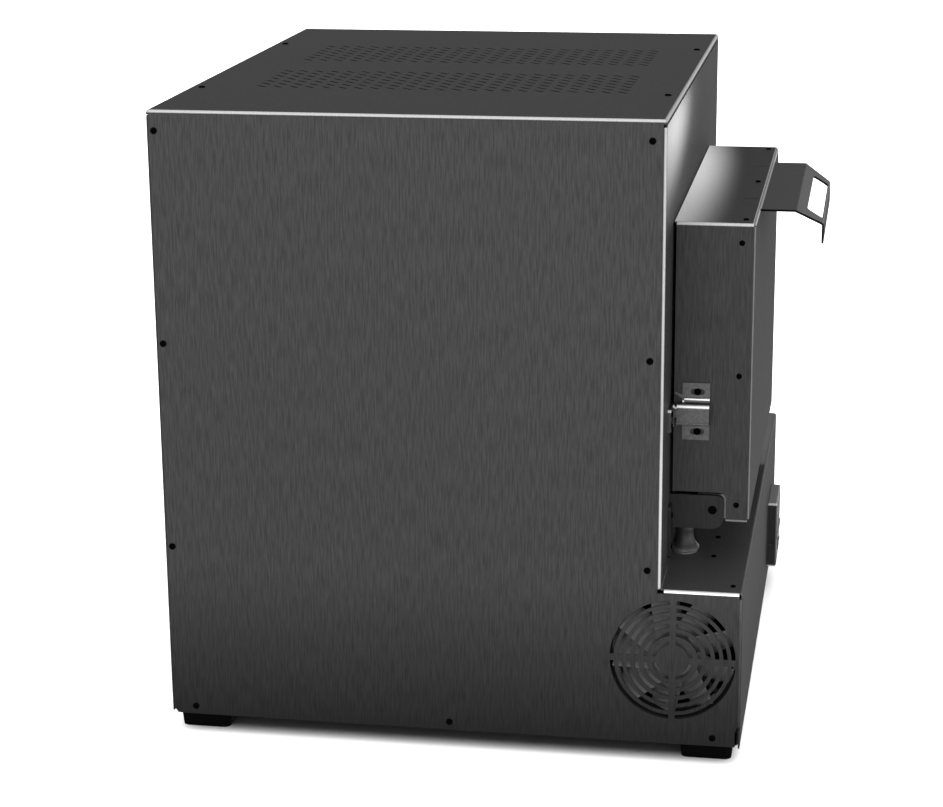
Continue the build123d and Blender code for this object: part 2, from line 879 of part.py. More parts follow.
def fan_screws():
    face = -skin_x + fan_standoff + fan_thickness + sheet
    return group([screw((face, y, z), (1, 0, 0), length=screw_length + 4) for y, z in fan_screw_places()])


def fan_rotor():
    low = -skin_x + fan_standoff + 2
    high = -skin_x + fan_standoff + fan_thickness - fan_spider_thickness - 1
    hub = rod("x", (fan_y, fan_z), fan_hub_radius, low, high)
    hub = fillet(hub.edges().sort_by(Axis.X)[0], 3)
    middle = (low + high) / 2
    span = fan_blade_reach - fan_hub_radius + 2
    for index in range(fan_blade_count):
        blade = Rot(0, 0, fan_blade_pitch) * Box(fan_blade_thickness, fan_blade_chord, span)
        blade = Pos(0, 0, fan_hub_radius - 2 + span / 2) * blade
        turn = Rot(360 * index / fan_blade_count, 0, 0)
        hub += Pos(middle, fan_y, fan_z) * turn * blade
    hub &= rod("x", (fan_y, fan_z), fan_blade_reach, low - 1, high + 0.5)
    bore_high = high + 1
    return hub - rod("x", (fan_y, fan_z), fan_shaft_radius + running_clearance, low + 3.5, bore_high)


def fan_bracket():
    face = -skin_x + fan_standoff + fan_thickness
    path = [(face, fan_z + fan_size / 2), (face, sheet), (face + 24, sheet)]
    front, rear = fan_y - fan_size / 2 + 2, fan_y + fan_size / 2 - 2
    plate = bent("y", path, front, rear)
    plate -= rod("x", (fan_y, fan_z), fan_bore - 2, face - 1, face + sheet + 1)
    return plate - drill("x", fan_screw_places(), face - 1, face + sheet + 1)


def heat_sink():
    plate_low = sheet + sink_height - sink_plate
    rear = sink_y + sink_depth
    sink = block(sink_x, sink_x + sink_width, sink_y, rear, plate_low, sheet + sink_height)
    pitch = (sink_width - sink_fin) / (sink_fins - 1)
    for index in range(sink_fins):
        x = sink_x + index * pitch
        sink += block(x, x + sink_fin, sink_y, rear, sheet, plate_low)
    return sink


def solid_state_relays():
    relays = []
    low = sheet + sink_height
    high = low + relay_height
    y = sink_y + (sink_depth - relay_depth) / 2
    for index in range(2):
        x = sink_x + relay_inset + index * (relay_width + relay_inset)
        relay = block(x, x + relay_width, y, y + relay_depth, low, high)
        for step_x in (x, x + relay_width - relay_step_width):
            for step_y in (y, y + relay_depth - relay_step_depth):
                relay -= block(step_x, step_x + relay_step_width, step_y, step_y + relay_step_depth,
                               low + relay_step_height, high + 1)
        relays.append(relay)
    return group(relays)


def contactor():
    right, rear = contactor_x + contactor_width, contactor_y + contactor_depth
    high = sheet + contactor_height
    body = block(contactor_x, right, contactor_y, rear, sheet, high)
    cap_x = (contactor_x + contactor_cap_inset, right - contactor_cap_inset)
    cap_y = (contactor_y + contactor_cap_setback, rear - contactor_cap_setback)
    body += block(*cap_x, *cap_y, high, sheet + contactor_cap)
    for index in range(contactor_poles):
        x = contactor_x + contactor_cap_inset + index * contactor_pole_pitch
        low = sheet + contactor_pole_height
        for y in (contactor_y, rear - contactor_pole_depth):
            body -= block(x, x + contactor_pole_width, y - (y == contactor_y),
                          y + contactor_pole_depth + (y != contactor_y), low, high + 1)
    return body


def mains_inlet():
    face = cabinet_depth
    flange = Pos(inlet_x, inlet_z) * RectangleRounded(inlet_width, inlet_height, 3)
    inlet = prism("y", flange, face, face + inlet_flange)
    body = Pos(inlet_x, inlet_z) * RectangleRounded(inlet_body_width, inlet_body_height, 2)
    inlet += prism("y", body, face - inlet_body_depth, face)
    socket = Pos(inlet_x, inlet_z) * RectangleRounded(inlet_socket_width, inlet_socket_height, 2)
    floor = face - inlet_body_depth + inlet_floor
    inlet -= prism("y", socket, floor, face + inlet_flange + 1)
    inlet -= drill("y", inlet_screw_places(), face - 1, face + inlet_flange + 1)
    half = inlet_blade_thickness / 2
    for step in (-1, 0, 1):
        x = inlet_x + step * inlet_blade_pitch
        middle = inlet_z + (-inlet_blade_offset if step else inlet_blade_offset)
        inlet += block(x - half, x + half, floor - 1, floor + inlet_blade_length,
                       middle - inlet_blade_height / 2, middle + inlet_blade_height / 2)
    return inlet


# Control unit
def control_face():
    return lower_front - control_reach


def key_places():
    return [control_x + (index - 1.5) * key_pitch for index in range(4)]


def controller_case():
    face = control_face()
    outline = Pos(control_x, control_z) * RectangleRounded(control_width, control_height, control_corner)
    case = prism("y", outline, face, lower_front)
    case = chamfer(case.faces().sort_by(Axis.Y)[0].edges(), 1.2)
    half = control_body_width / 2
    case += block(control_x - half, control_x + half, lower_front, lower_front + control_body_depth,
                  control_body_low, control_body_high)
    glass = RectangleRounded(window_glass_width + 2 * glass_gap, window_glass_height + 2 * glass_gap, 1.5)
    glass = Pos(control_x, window_glass_z) * glass
    case -= prism("y", glass, face - 1, face + window_glass_depth + glass_gap)
    for x in key_places():
        well = Pos(x, key_z) * Rectangle(key_width + 2 * key_gap, key_height + 2 * key_gap)
        case -= prism("y", well, face - 1, face + key_depth + key_travel + 0.3)
    well_half = rocker_length / 2 + rocker_gap + switch_wall
    side_half = rocker_width / 2 + rocker_side_gap + switch_wall
    case -= block(control_x - side_half, control_x + side_half, face - 1, lower_front,
                  rocker_z - well_half, rocker_z + well_half)
    for side in (-1, 1):
        case -= rod("y", (control_x + side * lamp_offset, rocker_z), lamp_radius + 0.1, face - 1, face + 6)
        edge = control_x + side * control_width / 2
        case -= block(edge - case_notch, edge + case_notch, face + 2 * case_notch, lower_front - case_notch,
                      key_z - 5 * case_notch, key_z - case_notch)
    return case


def controller_window():
    face = control_face()
    glass = Pos(control_x, window_glass_z) * RectangleRounded(window_glass_width, window_glass_height, 1.3)
    return prism("y", glass, face + glass_gap, face + window_glass_depth + glass_gap)


def controller_key(index):
    face = control_face()
    outline = Pos(key_places()[index], key_z) * RectangleRounded(key_width, key_height, 1.2)
    key = prism("y", outline, face - key_proud, face + key_depth)
    return fillet(key.faces().sort_by(Axis.Y)[0].edges(), 0.6)


def rocker_axis_y():
    return control_face() + rocker_pivot_depth


def rocker_profile():
    half = rocker_length / 2
    return Polygon((-rocker_nose, -half), (-rocker_nose + rocker_dip, 0), (-rocker_nose, half),
                   (0, half - 1), (rocker_heel, rocker_heel), (rocker_heel, -rocker_heel), (0, -half + 1),
                   align=None)


def power_rocker():
    half = rocker_width / 2
    turned = Rot(0, 0, rocker_tilt) * rocker_profile()
    centre = (rocker_axis_y(), rocker_z)
    body = prism("x", Pos(*centre) * turned, control_x - half, control_x + half)
    reach = half + rocker_side_gap + switch_wall * 0.7
    return body + rod("x", centre, rocker_axle_radius, control_x - reach, control_x + reach)


def switch_housing():
    face = control_face()
    half_z = rocker_length / 2 + rocker_gap
    half_x = rocker_width / 2 + rocker_side_gap
    shell = block(control_x - half_x - switch_wall, control_x + half_x + switch_wall, face, lower_front,
                  rocker_z - half_z - switch_wall, rocker_z + half_z + switch_wall)
    shell -= block(control_x - half_x, control_x + half_x, face - 1, lower_front - switch_wall / 2,
                   rocker_z - half_z, rocker_z + half_z)
    reach = half_x + switch_wall * 0.7 + running_clearance
    return shell - rod("x", (rocker_axis_y(), rocker_z), rocker_axle_radius + running_clearance,
                       control_x - reach, control_x + reach)


def indicator_lamps():
    face = control_face()
    lamps = []
    for side in (-1, 1):
        lamp = rod("y", (control_x + side * lamp_offset, rocker_z), lamp_radius, face - 1.2, face + 6)
        lamps.append(fillet(lamp.edges().sort_by(Axis.Y)[0], 1))
    return group(lamps)


# Hinges, door switch and catches
def ear_x():
    # Outer and inner face of the left ear, just inside the door's side sheet.
    return door_left + ear_recess, door_left + ear_recess + ear_thickness


def hinge_bracket():
    low, high = ear_x()
    ear = Polyline((-hinge_flange_thickness, ear_low), (ear_front, ear_low), (ear_front, ear_high),
                   (-hinge_flange_thickness, ear_high), close=True)
    face = make_face(ear)
    face = fillet(face.vertices().group_by(Axis.X)[0].sort_by(Axis.Y)[0], ear_corner)
    face = fillet(face.vertices().sort_by(Axis.Y)[-2:].sort_by(Axis.X)[0], ear_upper_corner)
    bracket = prism("x", face, low, high)
    width = hinge_flange_outset + ear_thickness
    flange = Pos(high - width / 2, (hinge_flange_low + hinge_flange_high) / 2)
    plate = flange * RectangleRounded(width, hinge_flange_high - hinge_flange_low, 3)
    bracket += prism("y", plate, -hinge_flange_thickness, 0)
    bracket += block(low, high, -hinge_flange_thickness, 0, hinge_flange_low + 4, ear_high)
    bracket -= rod("x", (pin_y, pin_height), pin_radius + running_clearance, low - 1, high + 1)
    return bracket - drill("y", hinge_screw_places(), -hinge_flange_thickness - 1, 1)


def hinge_screw_places():
    low = ear_x()[0]
    x = low - hinge_flange_outset / 2
    return [(x, hinge_flange_low + 10), (x, hinge_flange_high - 10)]


def striker_edge():
    # The plate stops short of the door's side, so that the door never meets it.
    return door_left - sheet


def striker_screw_places():
    x = striker_edge() - striker_width + 6
    return [(x, striker_low + 5.5), (x, striker_high - 5.5)]


def front_fitting_places():
    left = [(x, z, hinge_flange_thickness) for x, z in hinge_screw_places()]
    left += [(x, z, striker_plate) for x, z in striker_screw_places()]
    return left + [(2 * door_centre_x - x, z, reach) for x, z, reach in left]


def front_fitting_screws():
    return group([screw((x, -reach, z), (0, -1, 0), small_head_radius)
                  for x, z, reach in front_fitting_places()])


def hinge_pins():
    low = ear_x()[0]
    pin = rod("x", (pin_y, pin_height), pin_radius, low, low + pin_length)
    pin = chamfer(pin.edges().sort_by(Axis.X)[-1], 0.8)
    return group([pin, about_door(pin)])


def pivot_blocks():
    low = ear_x()[1] + ear_clearance
    block_low = door_bottom + sheet
    body = block(low, low + pivot_block_length, pin_y - pivot_block_reach, pin_y + pivot_block_reach,
                 block_low, pin_height + pivot_block_reach)
    bore_end = low + pivot_block_length - pivot_block_wall
    body -= rod("x", (pin_y, pin_height), pin_radius + running_clearance, low - 1, bore_end)
    return group([body, about_door(body)])


def door_switch_body():
    x = door_left + switch_offset
    base = shelf_height - switch_tail
    rim = (switch_flare_radius, shelf_height + switch_flare_high)
    waist = (switch_flare_waist[0], shelf_height + switch_flare_waist[1])
    neck = (switch_radius, shelf_height + switch_neck_height)
    lower = Polyline((0, base), (switch_radius, base), (switch_radius, shelf_height),
                     (switch_foot_radius, shelf_height),
                     (switch_foot_radius, shelf_height + switch_foot_height),
                     (switch_flare_radius, shelf_height + switch_flare_low), rim)
    upper = Polyline(neck, (switch_radius, switch_top - 1), (switch_radius - 1, switch_top),
                     (0, switch_top), (0, base))
    profile = lower.edges() + [ThreePointArc(rim, waist, neck)] + upper.edges()
    body = revolve(Plane.XZ * make_face(profile), Axis.Z)
    # The flare is cut flat behind, where it stands against the upper front.
    reach = 2 * switch_flare_radius
    body -= block(-reach, reach, switch_flat_y - switch_y, reach, shelf_height, shelf_height + reach)
    nut = extrude(RegularPolygon(switch_nut, 6), switch_nut_height)
    nut = Pos(0, 0, shelf_height - sheet - switch_nut_height) * nut
    bore_end = switch_top - plunger_depth - plunger_travel
    bore = rod("z", (0, 0), plunger_radius + running_clearance, bore_end, switch_top + 1)
    return Pos(x, switch_y, 0) * (body + nut - bore)


def door_switch_plunger():
    x = door_left + switch_offset
    high = door_bottom - plunger_gap
    stem = rod("z", (x, switch_y), plunger_radius, switch_top - plunger_depth, high)
    return fillet(stem.edges().sort_by(Axis.Z)[-1], 1.5)


def striker_x():
    return door_left - hat_depth / 2


def catch_striker():
    x = striker_x()
    plate = Pos(striker_edge() - striker_width / 2, (striker_low + striker_high) / 2)
    face = plate * RectangleRounded(striker_width, striker_high - striker_low, 3)
    body = prism("y", face, -striker_plate, 0)
    half = tongue_thickness / 2
    boss = block(x - half - 1, x + half + 1, -boss_reach, 0, striker_low + 0.5, striker_high - 0.5)
    boss = fillet(boss.edges().filter_by(Axis.Y), 3)
    tongue = block(x - half, x + half, -tongue_reach, 0, tongue_low, tongue_high)
    tongue = fillet(tongue.edges().filter_by(Axis.Y), 2)
    tongue = fillet(tongue.faces().sort_by(Axis.Y)[0].edges(), 1.5)
    body = body + boss + tongue
    return body - drill("y", striker_screw_places(), -striker_plate - 1, 1)


def catch_strikers():
    striker = catch_striker()
    return group([striker, about_door(striker)])


def clip_slots():
    return [(clip_slot_y, height) for height in clip_slot_heights]


def catch_clip():
    surface = door_left
    hat_path = [(surface, clip_high), (surface, hat_high), (surface - hat_depth, hat_high),
                (surface - hat_depth, hat_low), (surface, hat_low), (surface, clip_low)]
    clip = bent("y", hat_path, clip_front, clip_rear, side=-1, thickness=clip_sheet, radius=clip_bend)
    crown = bent("y", hat_path, clip_rear, hat_rear, side=-1, thickness=clip_sheet, radius=clip_bend)
    clip += crown & block(surface - 2 * hat_depth, surface - clip_sheet, clip_rear, hat_rear,
                          hat_low - clip_sheet, hat_high + clip_sheet)
    for low, high in ((hat_high, clip_high), (clip_low, hat_low)):
        tab = make_face(Polyline((clip_front, low), (clip_rear, low), (clip_rear, high),
                                 (clip_front, high), close=True))
        outer = tab.vertices().sort_by(Axis.Y)
        outer = outer[-2:] if high == clip_high else outer[:2]
        tab = fillet(outer, 3)
        clip += prism("x", tab, surface - clip_sheet, surface)
    clip += rod("y", (surface - curl_radius, curl_height), curl_radius, clip_front, clip_rear - 2)
    guide = Pos(clip_rear, curl_height + guide_rise) * Rot(0, 0, guide_tilt) * Pos(guide_length / 2 - 1, 0)
    guide = guide * RectangleRounded(guide_length, guide_width, 1)
    clip += prism("x", guide, surface - clip_sheet, surface)
    for y, z in clip_slots():
        slot = Pos(y, z) * SlotOverall(clip_slot_length, clip_slot_width)
        clip -= prism("x", slot, surface - 4, surface + 1)
    return clip


def catch_clips():
    clip = catch_clip()
    return group([clip, about_door(clip)])


def clip_screws():
    heads = [screw((door_left - clip_sheet, y, z), (-1, 0, 0), clip_head_radius, short_screw_length)
             for y, z in clip_slots()]
    return group(heads + [about_door(head) for head in heads])


# Door
def ear_slot():
    # The room that the hinge ear sweeps through in the door's corner, and the notch
    # in the door's side sheet that shows it.
    inner = ear_x()[1] + ear_clearance
    slot_front = pin_y - ear_sweep
    sweep_room = block(door_left + sheet, inner, slot_front, 1, door_bottom - 1, notch_height)
    corner = make_face(Polyline((notch_front, door_bottom - 1), (1, door_bottom - 1), (1, notch_height),
                                (notch_front, notch_height), close=True))
    upper_front = corner.vertices().group_by(Axis.Y)[-1].sort_by(Axis.X)[0]
    corner = fillet(upper_front, notch_corner)
    return sweep_room + prism("x", corner, door_left - 1, door_left + sheet)


def door_side_screw_places():
    return [(door_front + door_screw_inset, height) for height in door_screw_heights]


def door_top_screw_places():
    offsets = (-door_top_screw_offset, 0, door_top_screw_offset)
    return [(door_centre_x + offset, door_front + door_screw_inset - 2) for offset in offsets]


def door_casing():
    front = door_front + door_front_bend
    centre = Pos(door_centre_x, (door_bottom + door_top) / 2)
    outline = centre * RectangleRounded(door_width, door_height, bend)
    hollow = centre * RectangleRounded(door_width - 2 * sheet, door_height - 2 * sheet, bend - sheet)
    casing = prism("y", outline, front, door_rear) - prism("y", hollow, front - 1, door_rear - sheet)
    plug_hole = Pos(door_centre_x, chamber_z)
    plug_hole = plug_hole * Rectangle(plug_width() + 1, plug_height() + 1)
    casing -= prism("y", plug_hole, door_rear - sheet - 1, door_rear + 1)
    room = ear_slot()
    casing -= room
    casing -= about_door(room)
    casing += block(door_left + bend, door_right - bend, door_rear - 1, -brow_gap,
                    door_top - sheet, door_top)
    casing -= drill("x", door_side_screw_places(), door_left - 1, door_right + 1)
    casing -= drill("z", door_top_screw_places(), door_top - sheet - 1, door_top + 1)
    casing -= drill("x", clip_slots(), door_left - 1, door_right + 1)
    for side in (-1, 1):
        x = door_centre_x + side * top_slit_offset
        slit = Pos(x, front + 1 + top_slit_length / 2) * Rectangle(top_slit_width, top_slit_length)
        casing -= prism("z", slit, door_top - sheet - 1, door_top + 1)
    return casing


def plug_width():
    return mouth_width - 2 * plug_side_clearance


def plug_height():
    return mouth_height - 2 * plug_clearance


def door_front_panel():
    low_x, high_x = door_left + sheet, door_right - sheet
    low_z, high_z = door_bottom + sheet, door_top - sheet
    turn = door_front_bend
    panel = block(low_x + turn, high_x - turn, door_front, door_front + sheet, low_z + turn, high_z - turn)
    depth = door_front + door_front_lip
    left = [(low_x + turn + 1, door_front), (low_x, door_front), (low_x, depth)]
    right = [(high_x - turn - 1, door_front), (high_x, door_front), (high_x, depth)]
    lower = [(door_front, low_z + turn + 1), (door_front, low_z), (depth, low_z)]
    upper = [(door_front, high_z - turn - 1), (door_front, high_z), (depth, high_z)]
    panel += bent("z", left, low_z + turn, high_z - turn, side=-1, radius=turn)
    panel += bent("z", right, low_z + turn, high_z - turn, radius=turn)
    panel += bent("x", lower, low_x + turn, high_x - turn, radius=turn)
    panel += bent("x", upper, low_x + turn, high_x - turn, side=-1, radius=turn)
    panel -= handle_slot()
    room = ear_slot()
    panel -= room
    panel -= about_door(room)
    panel -= drill("x", door_side_screw_places(), low_x - 1, high_x + 1, thread_radius)
    panel -= drill("z", door_top_screw_places(), high_z - sheet - 1, high_z + 1, thread_radius)
    return panel


def handle_slot():
    # The front sheet and its upper lip stop at each side of the handle, which lies on
    # the underside of the casing.
    half = handle_width / 2 + 0.2
    return block(handle_x - half, handle_x + half, door_front - 1, door_front + door_front_lip + 1,
                 handle_top - handle_sheet - 0.2, door_top)


def door_handle():
    bend_one = door_front - handle_flat_reach
    bend_two = bend_one - handle_slope_reach
    low = handle_top - handle_slope_drop
    tail = door_front + handle_tail
    path = [(tail, handle_top), (bend_one, handle_top), (bend_two, low), (bend_two, low - handle_lip_drop)]
    half = handle_width / 2
    lip_half = handle_lip_width / 2
    low_x, high_x = handle_x - half, handle_x + half
    strip = bent("x", path, low_x, high_x, thickness=handle_sheet, radius=handle_bend)
    tip = bend_two - 1
    plan = make_face(Polyline((-half, tail), (-half, bend_one), (-lip_half, tip), (lip_half, tip),
                              (half, bend_one), (half, tail), close=True))
    plan = fillet(plan.vertices().group_by(Axis.Y)[-1], 5)
    strip &= prism("z", Pos(handle_x, 0) * plan, low - handle_lip_drop - 1, handle_top + 1)
    slope = degrees(atan2(handle_slope_drop, handle_slope_reach))
    run = hypot(handle_slope_drop, handle_slope_reach)
    cutter = extrude(RectangleRounded(window_width, window_length, window_corner), 12, both=True)
    middle = window_start + window_length / 2
    along = middle / run
    middle_y, middle_z = bend_one - handle_slope_reach * along, handle_top - handle_slope_drop * along
    place = Pos(handle_x, middle_y, middle_z)
    strip -= place * Rot(slope, 0, 0) * cutter
    return strip - drill("z", door_top_screw_places(), handle_top - handle_sheet - 1, handle_top + 1)


def door_insulation():
    slab = block(door_left + slab_inset, door_right - slab_inset, door_front + sheet, door_rear - sheet,
                 notch_height + slab_gap, door_top - screw_length - slab_screw_gap)
    half_x, half_z = plug_width() / 2, plug_height() / 2
    plug = block(door_centre_x - half_x, door_centre_x + half_x, door_rear - sheet, plug_reach,
                 chamber_z - half_z, chamber_z + half_z)
    plug = chamfer(plug.faces().sort_by(Axis.Y)[-1].edges(), 6)
    return slab + plug


def door_gasket():
    width = mouth_width + 2 * gasket_margin
    height = mouth_height + 2 * gasket_margin
    ring = RectangleRounded(width + 2 * gasket_width, height + 2 * gasket_width, gasket_width + 4)
    ring -= RectangleRounded(width, height, 4)
    seal = prism("y", Pos(door_centre_x, chamber_z) * ring, door_rear, -gasket_clearance)
    return fillet(seal.faces().sort_by(Axis.Y)[-1].edges(), 1.1)


def door_screws():
    left = [screw((door_left, y, z), (-1, 0, 0), small_head_radius) for y, z in door_side_screw_places()]
    heads = left + [about_door(head) for head in left]
    heads += [screw((x, y, door_top), (0, 0, 1), small_head_radius) for x, y in door_top_screw_places()]
    return group(heads)


# The finished pieces
pieces = {
    "left_side_panel": side_panel(-1),
    "right_side_panel": side_panel(1),
    "front_fascia": front_fascia(),
    "rear_panel": rear_panel(),
    "base_pan": base_pan(),
    "top_cover": top_cover(),
    "top_rails": top_rails(),
    "feet": feet(),
    "side_panel_screws": side_panel_screws(),
    "cover_screws": cover_screws(),
    "shelf_screws": shelf_screws(),
    "chamber_casing": chamber_casing(),
    "mouth_collar": mouth_collar(),
    "fibre_insulation": fibre_insulation(),
    "hearth_brick": lining_block(brick_low, chamber_low, mouth_recess, brick_rear),
    "roof_brick": lining_block(chamber_high, brick_high, mouth_recess, brick_rear),
    "side_bricks": side_bricks(),
    "rear_brick": rear_brick(),
    "heating_elements": heating_elements(),
    "element_bushes": element_bushes(),
    "terminal_block": terminal_block(),
    "thermocouple": thermocouple(),
    "bay_frame": bay_frame(),
    "heat_shield": heat_shield(),
    "chamber_standoffs": chamber_standoffs(),
    "fan_frame": fan_frame(),
    "fan_rotor": fan_rotor(),
    "fan_bracket": fan_bracket(),
    "fan_screws": fan_screws(),
    "heat_sink": heat_sink(),
    "solid_state_relays": solid_state_relays(),
    "contactor": contactor(),
    "mains_inlet": mains_inlet(),
    "controller_case": controller_case(),
    "controller_window": controller_window(),
    "key_set": controller_key(0),
    "key_shift": controller_key(1),
    "key_down": controller_key(2),
    "key_up": controller_key(3),
    "switch_housing": switch_housing(),
    "power_rocker": power_rocker(),
    "indicator_lamps": indicator_lamps(),
    "hinge_bracket_left": hinge_bracket(),
    "hinge_bracket_right": about_door(hinge_bracket()),
    "hinge_pins": hinge_pins(),
    "front_fitting_screws": front_fitting_screws(),
    "door_switch_body": door_switch_body(),
    "door_switch_plunger": door_switch_plunger(),
    "catch_strikers": catch_strikers(),
    "door_casing": door_casing(),
    "door_front_panel": door_front_panel(),
    "door_insulation": door_insulation(),
    "door_gasket": door_gasket(),
    "door_handle": door_handle(),
    "door_screws": door_screws(),
    "catch_clips": catch_clips(),
    "clip_screws": clip_screws(),
    "pivot_blocks": pivot_blocks(),
}

os.makedirs("parts", exist_ok=True)
for name, shape in pieces.items():
    export_step(machine_shift * shape, f"parts/{name}.step")
print(f"{len(pieces)} pieces, origin moved by {machine_shift.position}")
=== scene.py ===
import math

import bpy
from mathutils import Matrix, Vector


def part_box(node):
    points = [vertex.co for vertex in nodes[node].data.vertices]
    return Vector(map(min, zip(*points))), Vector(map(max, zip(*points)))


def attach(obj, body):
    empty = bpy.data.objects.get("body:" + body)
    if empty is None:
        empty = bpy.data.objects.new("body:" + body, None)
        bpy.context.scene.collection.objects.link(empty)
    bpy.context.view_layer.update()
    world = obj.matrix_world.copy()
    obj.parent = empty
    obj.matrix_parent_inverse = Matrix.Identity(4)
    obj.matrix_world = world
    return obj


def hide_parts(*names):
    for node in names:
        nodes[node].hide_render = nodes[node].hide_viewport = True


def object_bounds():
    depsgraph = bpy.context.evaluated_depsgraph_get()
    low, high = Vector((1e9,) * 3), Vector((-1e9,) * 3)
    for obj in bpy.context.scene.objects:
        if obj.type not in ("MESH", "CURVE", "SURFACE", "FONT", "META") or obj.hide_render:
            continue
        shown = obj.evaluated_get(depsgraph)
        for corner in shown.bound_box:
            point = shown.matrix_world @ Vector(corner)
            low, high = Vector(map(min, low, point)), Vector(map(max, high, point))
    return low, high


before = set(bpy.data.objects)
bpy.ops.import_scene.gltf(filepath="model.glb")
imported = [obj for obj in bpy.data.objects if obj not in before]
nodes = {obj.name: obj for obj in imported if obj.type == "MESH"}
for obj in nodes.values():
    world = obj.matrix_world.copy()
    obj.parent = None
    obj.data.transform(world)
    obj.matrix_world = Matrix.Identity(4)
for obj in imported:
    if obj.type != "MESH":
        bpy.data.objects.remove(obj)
cadLow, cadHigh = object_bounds()
scene = bpy.context.scene
print("forge model loaded:", len(nodes), "pieces")


# small helpers for the node trees

def freshMaterial(name):
    material = bpy.data.materials.new(name)
    material.use_nodes = True
    tree = material.node_tree
    tree.nodes.clear()
    shader = tree.nodes.new("ShaderNodeBsdfPrincipled")
    output = tree.nodes.new("ShaderNodeOutputMaterial")
    tree.links.new(shader.outputs["BSDF"], output.inputs["Surface"])
    return material, tree, shader


def objectPoints(tree, stretch, turn=(0, 0, 0)):
    place = tree.nodes.new("ShaderNodeTexCoord")
    mapping = tree.nodes.new("ShaderNodeMapping")
    mapping.inputs["Scale"].default_value = stretch
    mapping.inputs["Rotation"].default_value = turn
    tree.links.new(place.outputs["Object"], mapping.inputs["Vector"])
    return mapping.outputs["Vector"]


# layers and roughness of each kind of noise
noiseKinds = {
    "plain": (3, 0.55),
    "brushed": (3, 0.6),
    "streaks": (2, 0.5),
    "fine": (4, 0.6),
    "clouds": (3, 0.5),
}


def noise(tree, points, scale, kind="plain"):
    detail, roughness = noiseKinds[kind]
    node = tree.nodes.new("ShaderNodeTexNoise")
    node.inputs["Scale"].default_value = scale
    node.inputs["Detail"].default_value = detail
    node.inputs["Roughness"].default_value = roughness
    tree.links.new(points, node.inputs["Vector"])
    return node.outputs["Fac"]


def spread(tree, value, low, high, start=0.3, end=0.7):
    node = tree.nodes.new("ShaderNodeMapRange")
    node.inputs["From Min"].default_value = start
    node.inputs["From Max"].default_value = end
    node.inputs["To Min"].default_value = low
    node.inputs["To Max"].default_value = high
    tree.links.new(value, node.inputs["Value"])
    return node.outputs["Result"]


def combine(tree, kind, first, second):
    node = tree.nodes.new("ShaderNodeMath")
    node.operation = kind
    for socket, value in zip(node.inputs, (first, second)):
        if isinstance(value, (int, float)):
            socket.default_value = value
        else:
            tree.links.new(value, socket)
    return node.outputs["Value"]


def tint(tree, factor, dark, light):
    node = tree.nodes.new("ShaderNodeMix")
    node.data_type = "RGBA"
    for socket, colour in (("A", dark), ("B", light)):
        if isinstance(colour, tuple):
            node.inputs[socket].default_value = (*colour, 1)
        else:
            tree.links.new(colour, node.inputs[socket])
    tree.links.new(factor, node.inputs["Factor"])
    return node.outputs["Result"]


def relief(tree, shader, height, strength, distance):
    node = tree.nodes.new("ShaderNodeBump")
    node.inputs["Strength"].default_value = strength
    node.inputs["Distance"].default_value = distance
    tree.links.new(height, node.inputs["Height"])
    tree.links.new(node.outputs["Normal"], shader.inputs["Normal"])


def placeOf(tree, axis, kind="Object"):
    apart = tree.nodes.new("ShaderNodeSeparateXYZ")
    tree.links.new(tree.nodes.new("ShaderNodeTexCoord").outputs[kind], apart.inputs["Vector"])
    return apart.outputs[axis]


# how far a surface turns from one flat side to the next, for the bends that get a painted highlight along
# the depth, the width and upright; the upright ones can be left without the painted highlight below a height

bendTurn = {
    "flatUpTo": 0.10,
    "fullFrom": 0.32,
    "fade": 0.002,
}


def bendHighlightMask(tree, weights, uprightAbove):
    x, y, z = (combine(tree, "ABSOLUTE", placeOf(tree, axis, "Normal"), 0.0) for axis in "XYZ")
    mask = 0.0
    for weight, pair in zip(weights, ((x, z), (y, z), (x, y))):
        if weight:
            turned = combine(tree, "MINIMUM", *pair)
            turned = spread(tree, turned, 0.0, weight, bendTurn["flatUpTo"], bendTurn["fullFrom"])
            if uprightAbove and pair == (x, y):
                fullAbove = uprightAbove + bendTurn["fade"]
                shown = spread(tree, placeOf(tree, "Z"), 0.0, 1.0, uprightAbove, fullAbove)
                turned = combine(tree, "MULTIPLY", turned, shown)
            mask = combine(tree, "MAXIMUM", mask, turned)
    return mask


# the dark sheet steel: an upright grain with short faint streaks, a painted highlight along its bends and a
# painted shade that darkens it towards the bottom; a Low value says how much of the tone is left where that
# pattern is darkest

sheetSteel = {
    "dark": (0.033, 0.033, 0.0333),
    "light": (0.083, 0.083, 0.0835),
    "paintedHighlight": (0.46, 0.46, 0.455),
    "edgeTint": (0.45, 0.45, 0.45),
    "metallic": 0.65,
    "gloss": 0.2,
    "roughness": (0.40, 0.48),
    "grain": (1500, 1500, 60),
    "grainLow": 0.55,
    "streak": (640, 640, 46),
    "streakLow": 0.45,
    "streakSpan": (0.32, 0.60),
    "cloud": 3.2,
    "cloudLow": 0.9,
    "paintedShadeLow": 0.38,
    "paintedShadeSpan": (0.02, 0.17),
    "paintedSideShadeTurn": (0.6, 0.8),
    "topTurn": (0.6, 0.9),
    "stripFade": 0.0002,
    "paintedHighlightLow": 0.8,
    "bump": 0.06,
    "bumpDepth": 0.0002,
}
# the hinge brackets wear a darker copy of the sheet steel: painted shade, as they sit low and behind the
# door's side
shadedEarSteel = dict(sheetSteel, dark=(0.024, 0.024, 0.0245), light=(0.042, 0.042, 0.0425))
doorSteel = dict(sheetSteel, dark=(0.030, 0.030, 0.0303), light=(0.068, 0.068, 0.0685))
# the handle wears a lighter copy of the sheet steel, painted light, with its sideways faces painted shade
handleSteel = dict(sheetSteel, dark=(0.052, 0.052, 0.0525), light=(0.089, 0.089, 0.0895),
                   paintedSideShade=(0.004, 0.004, 0.004))
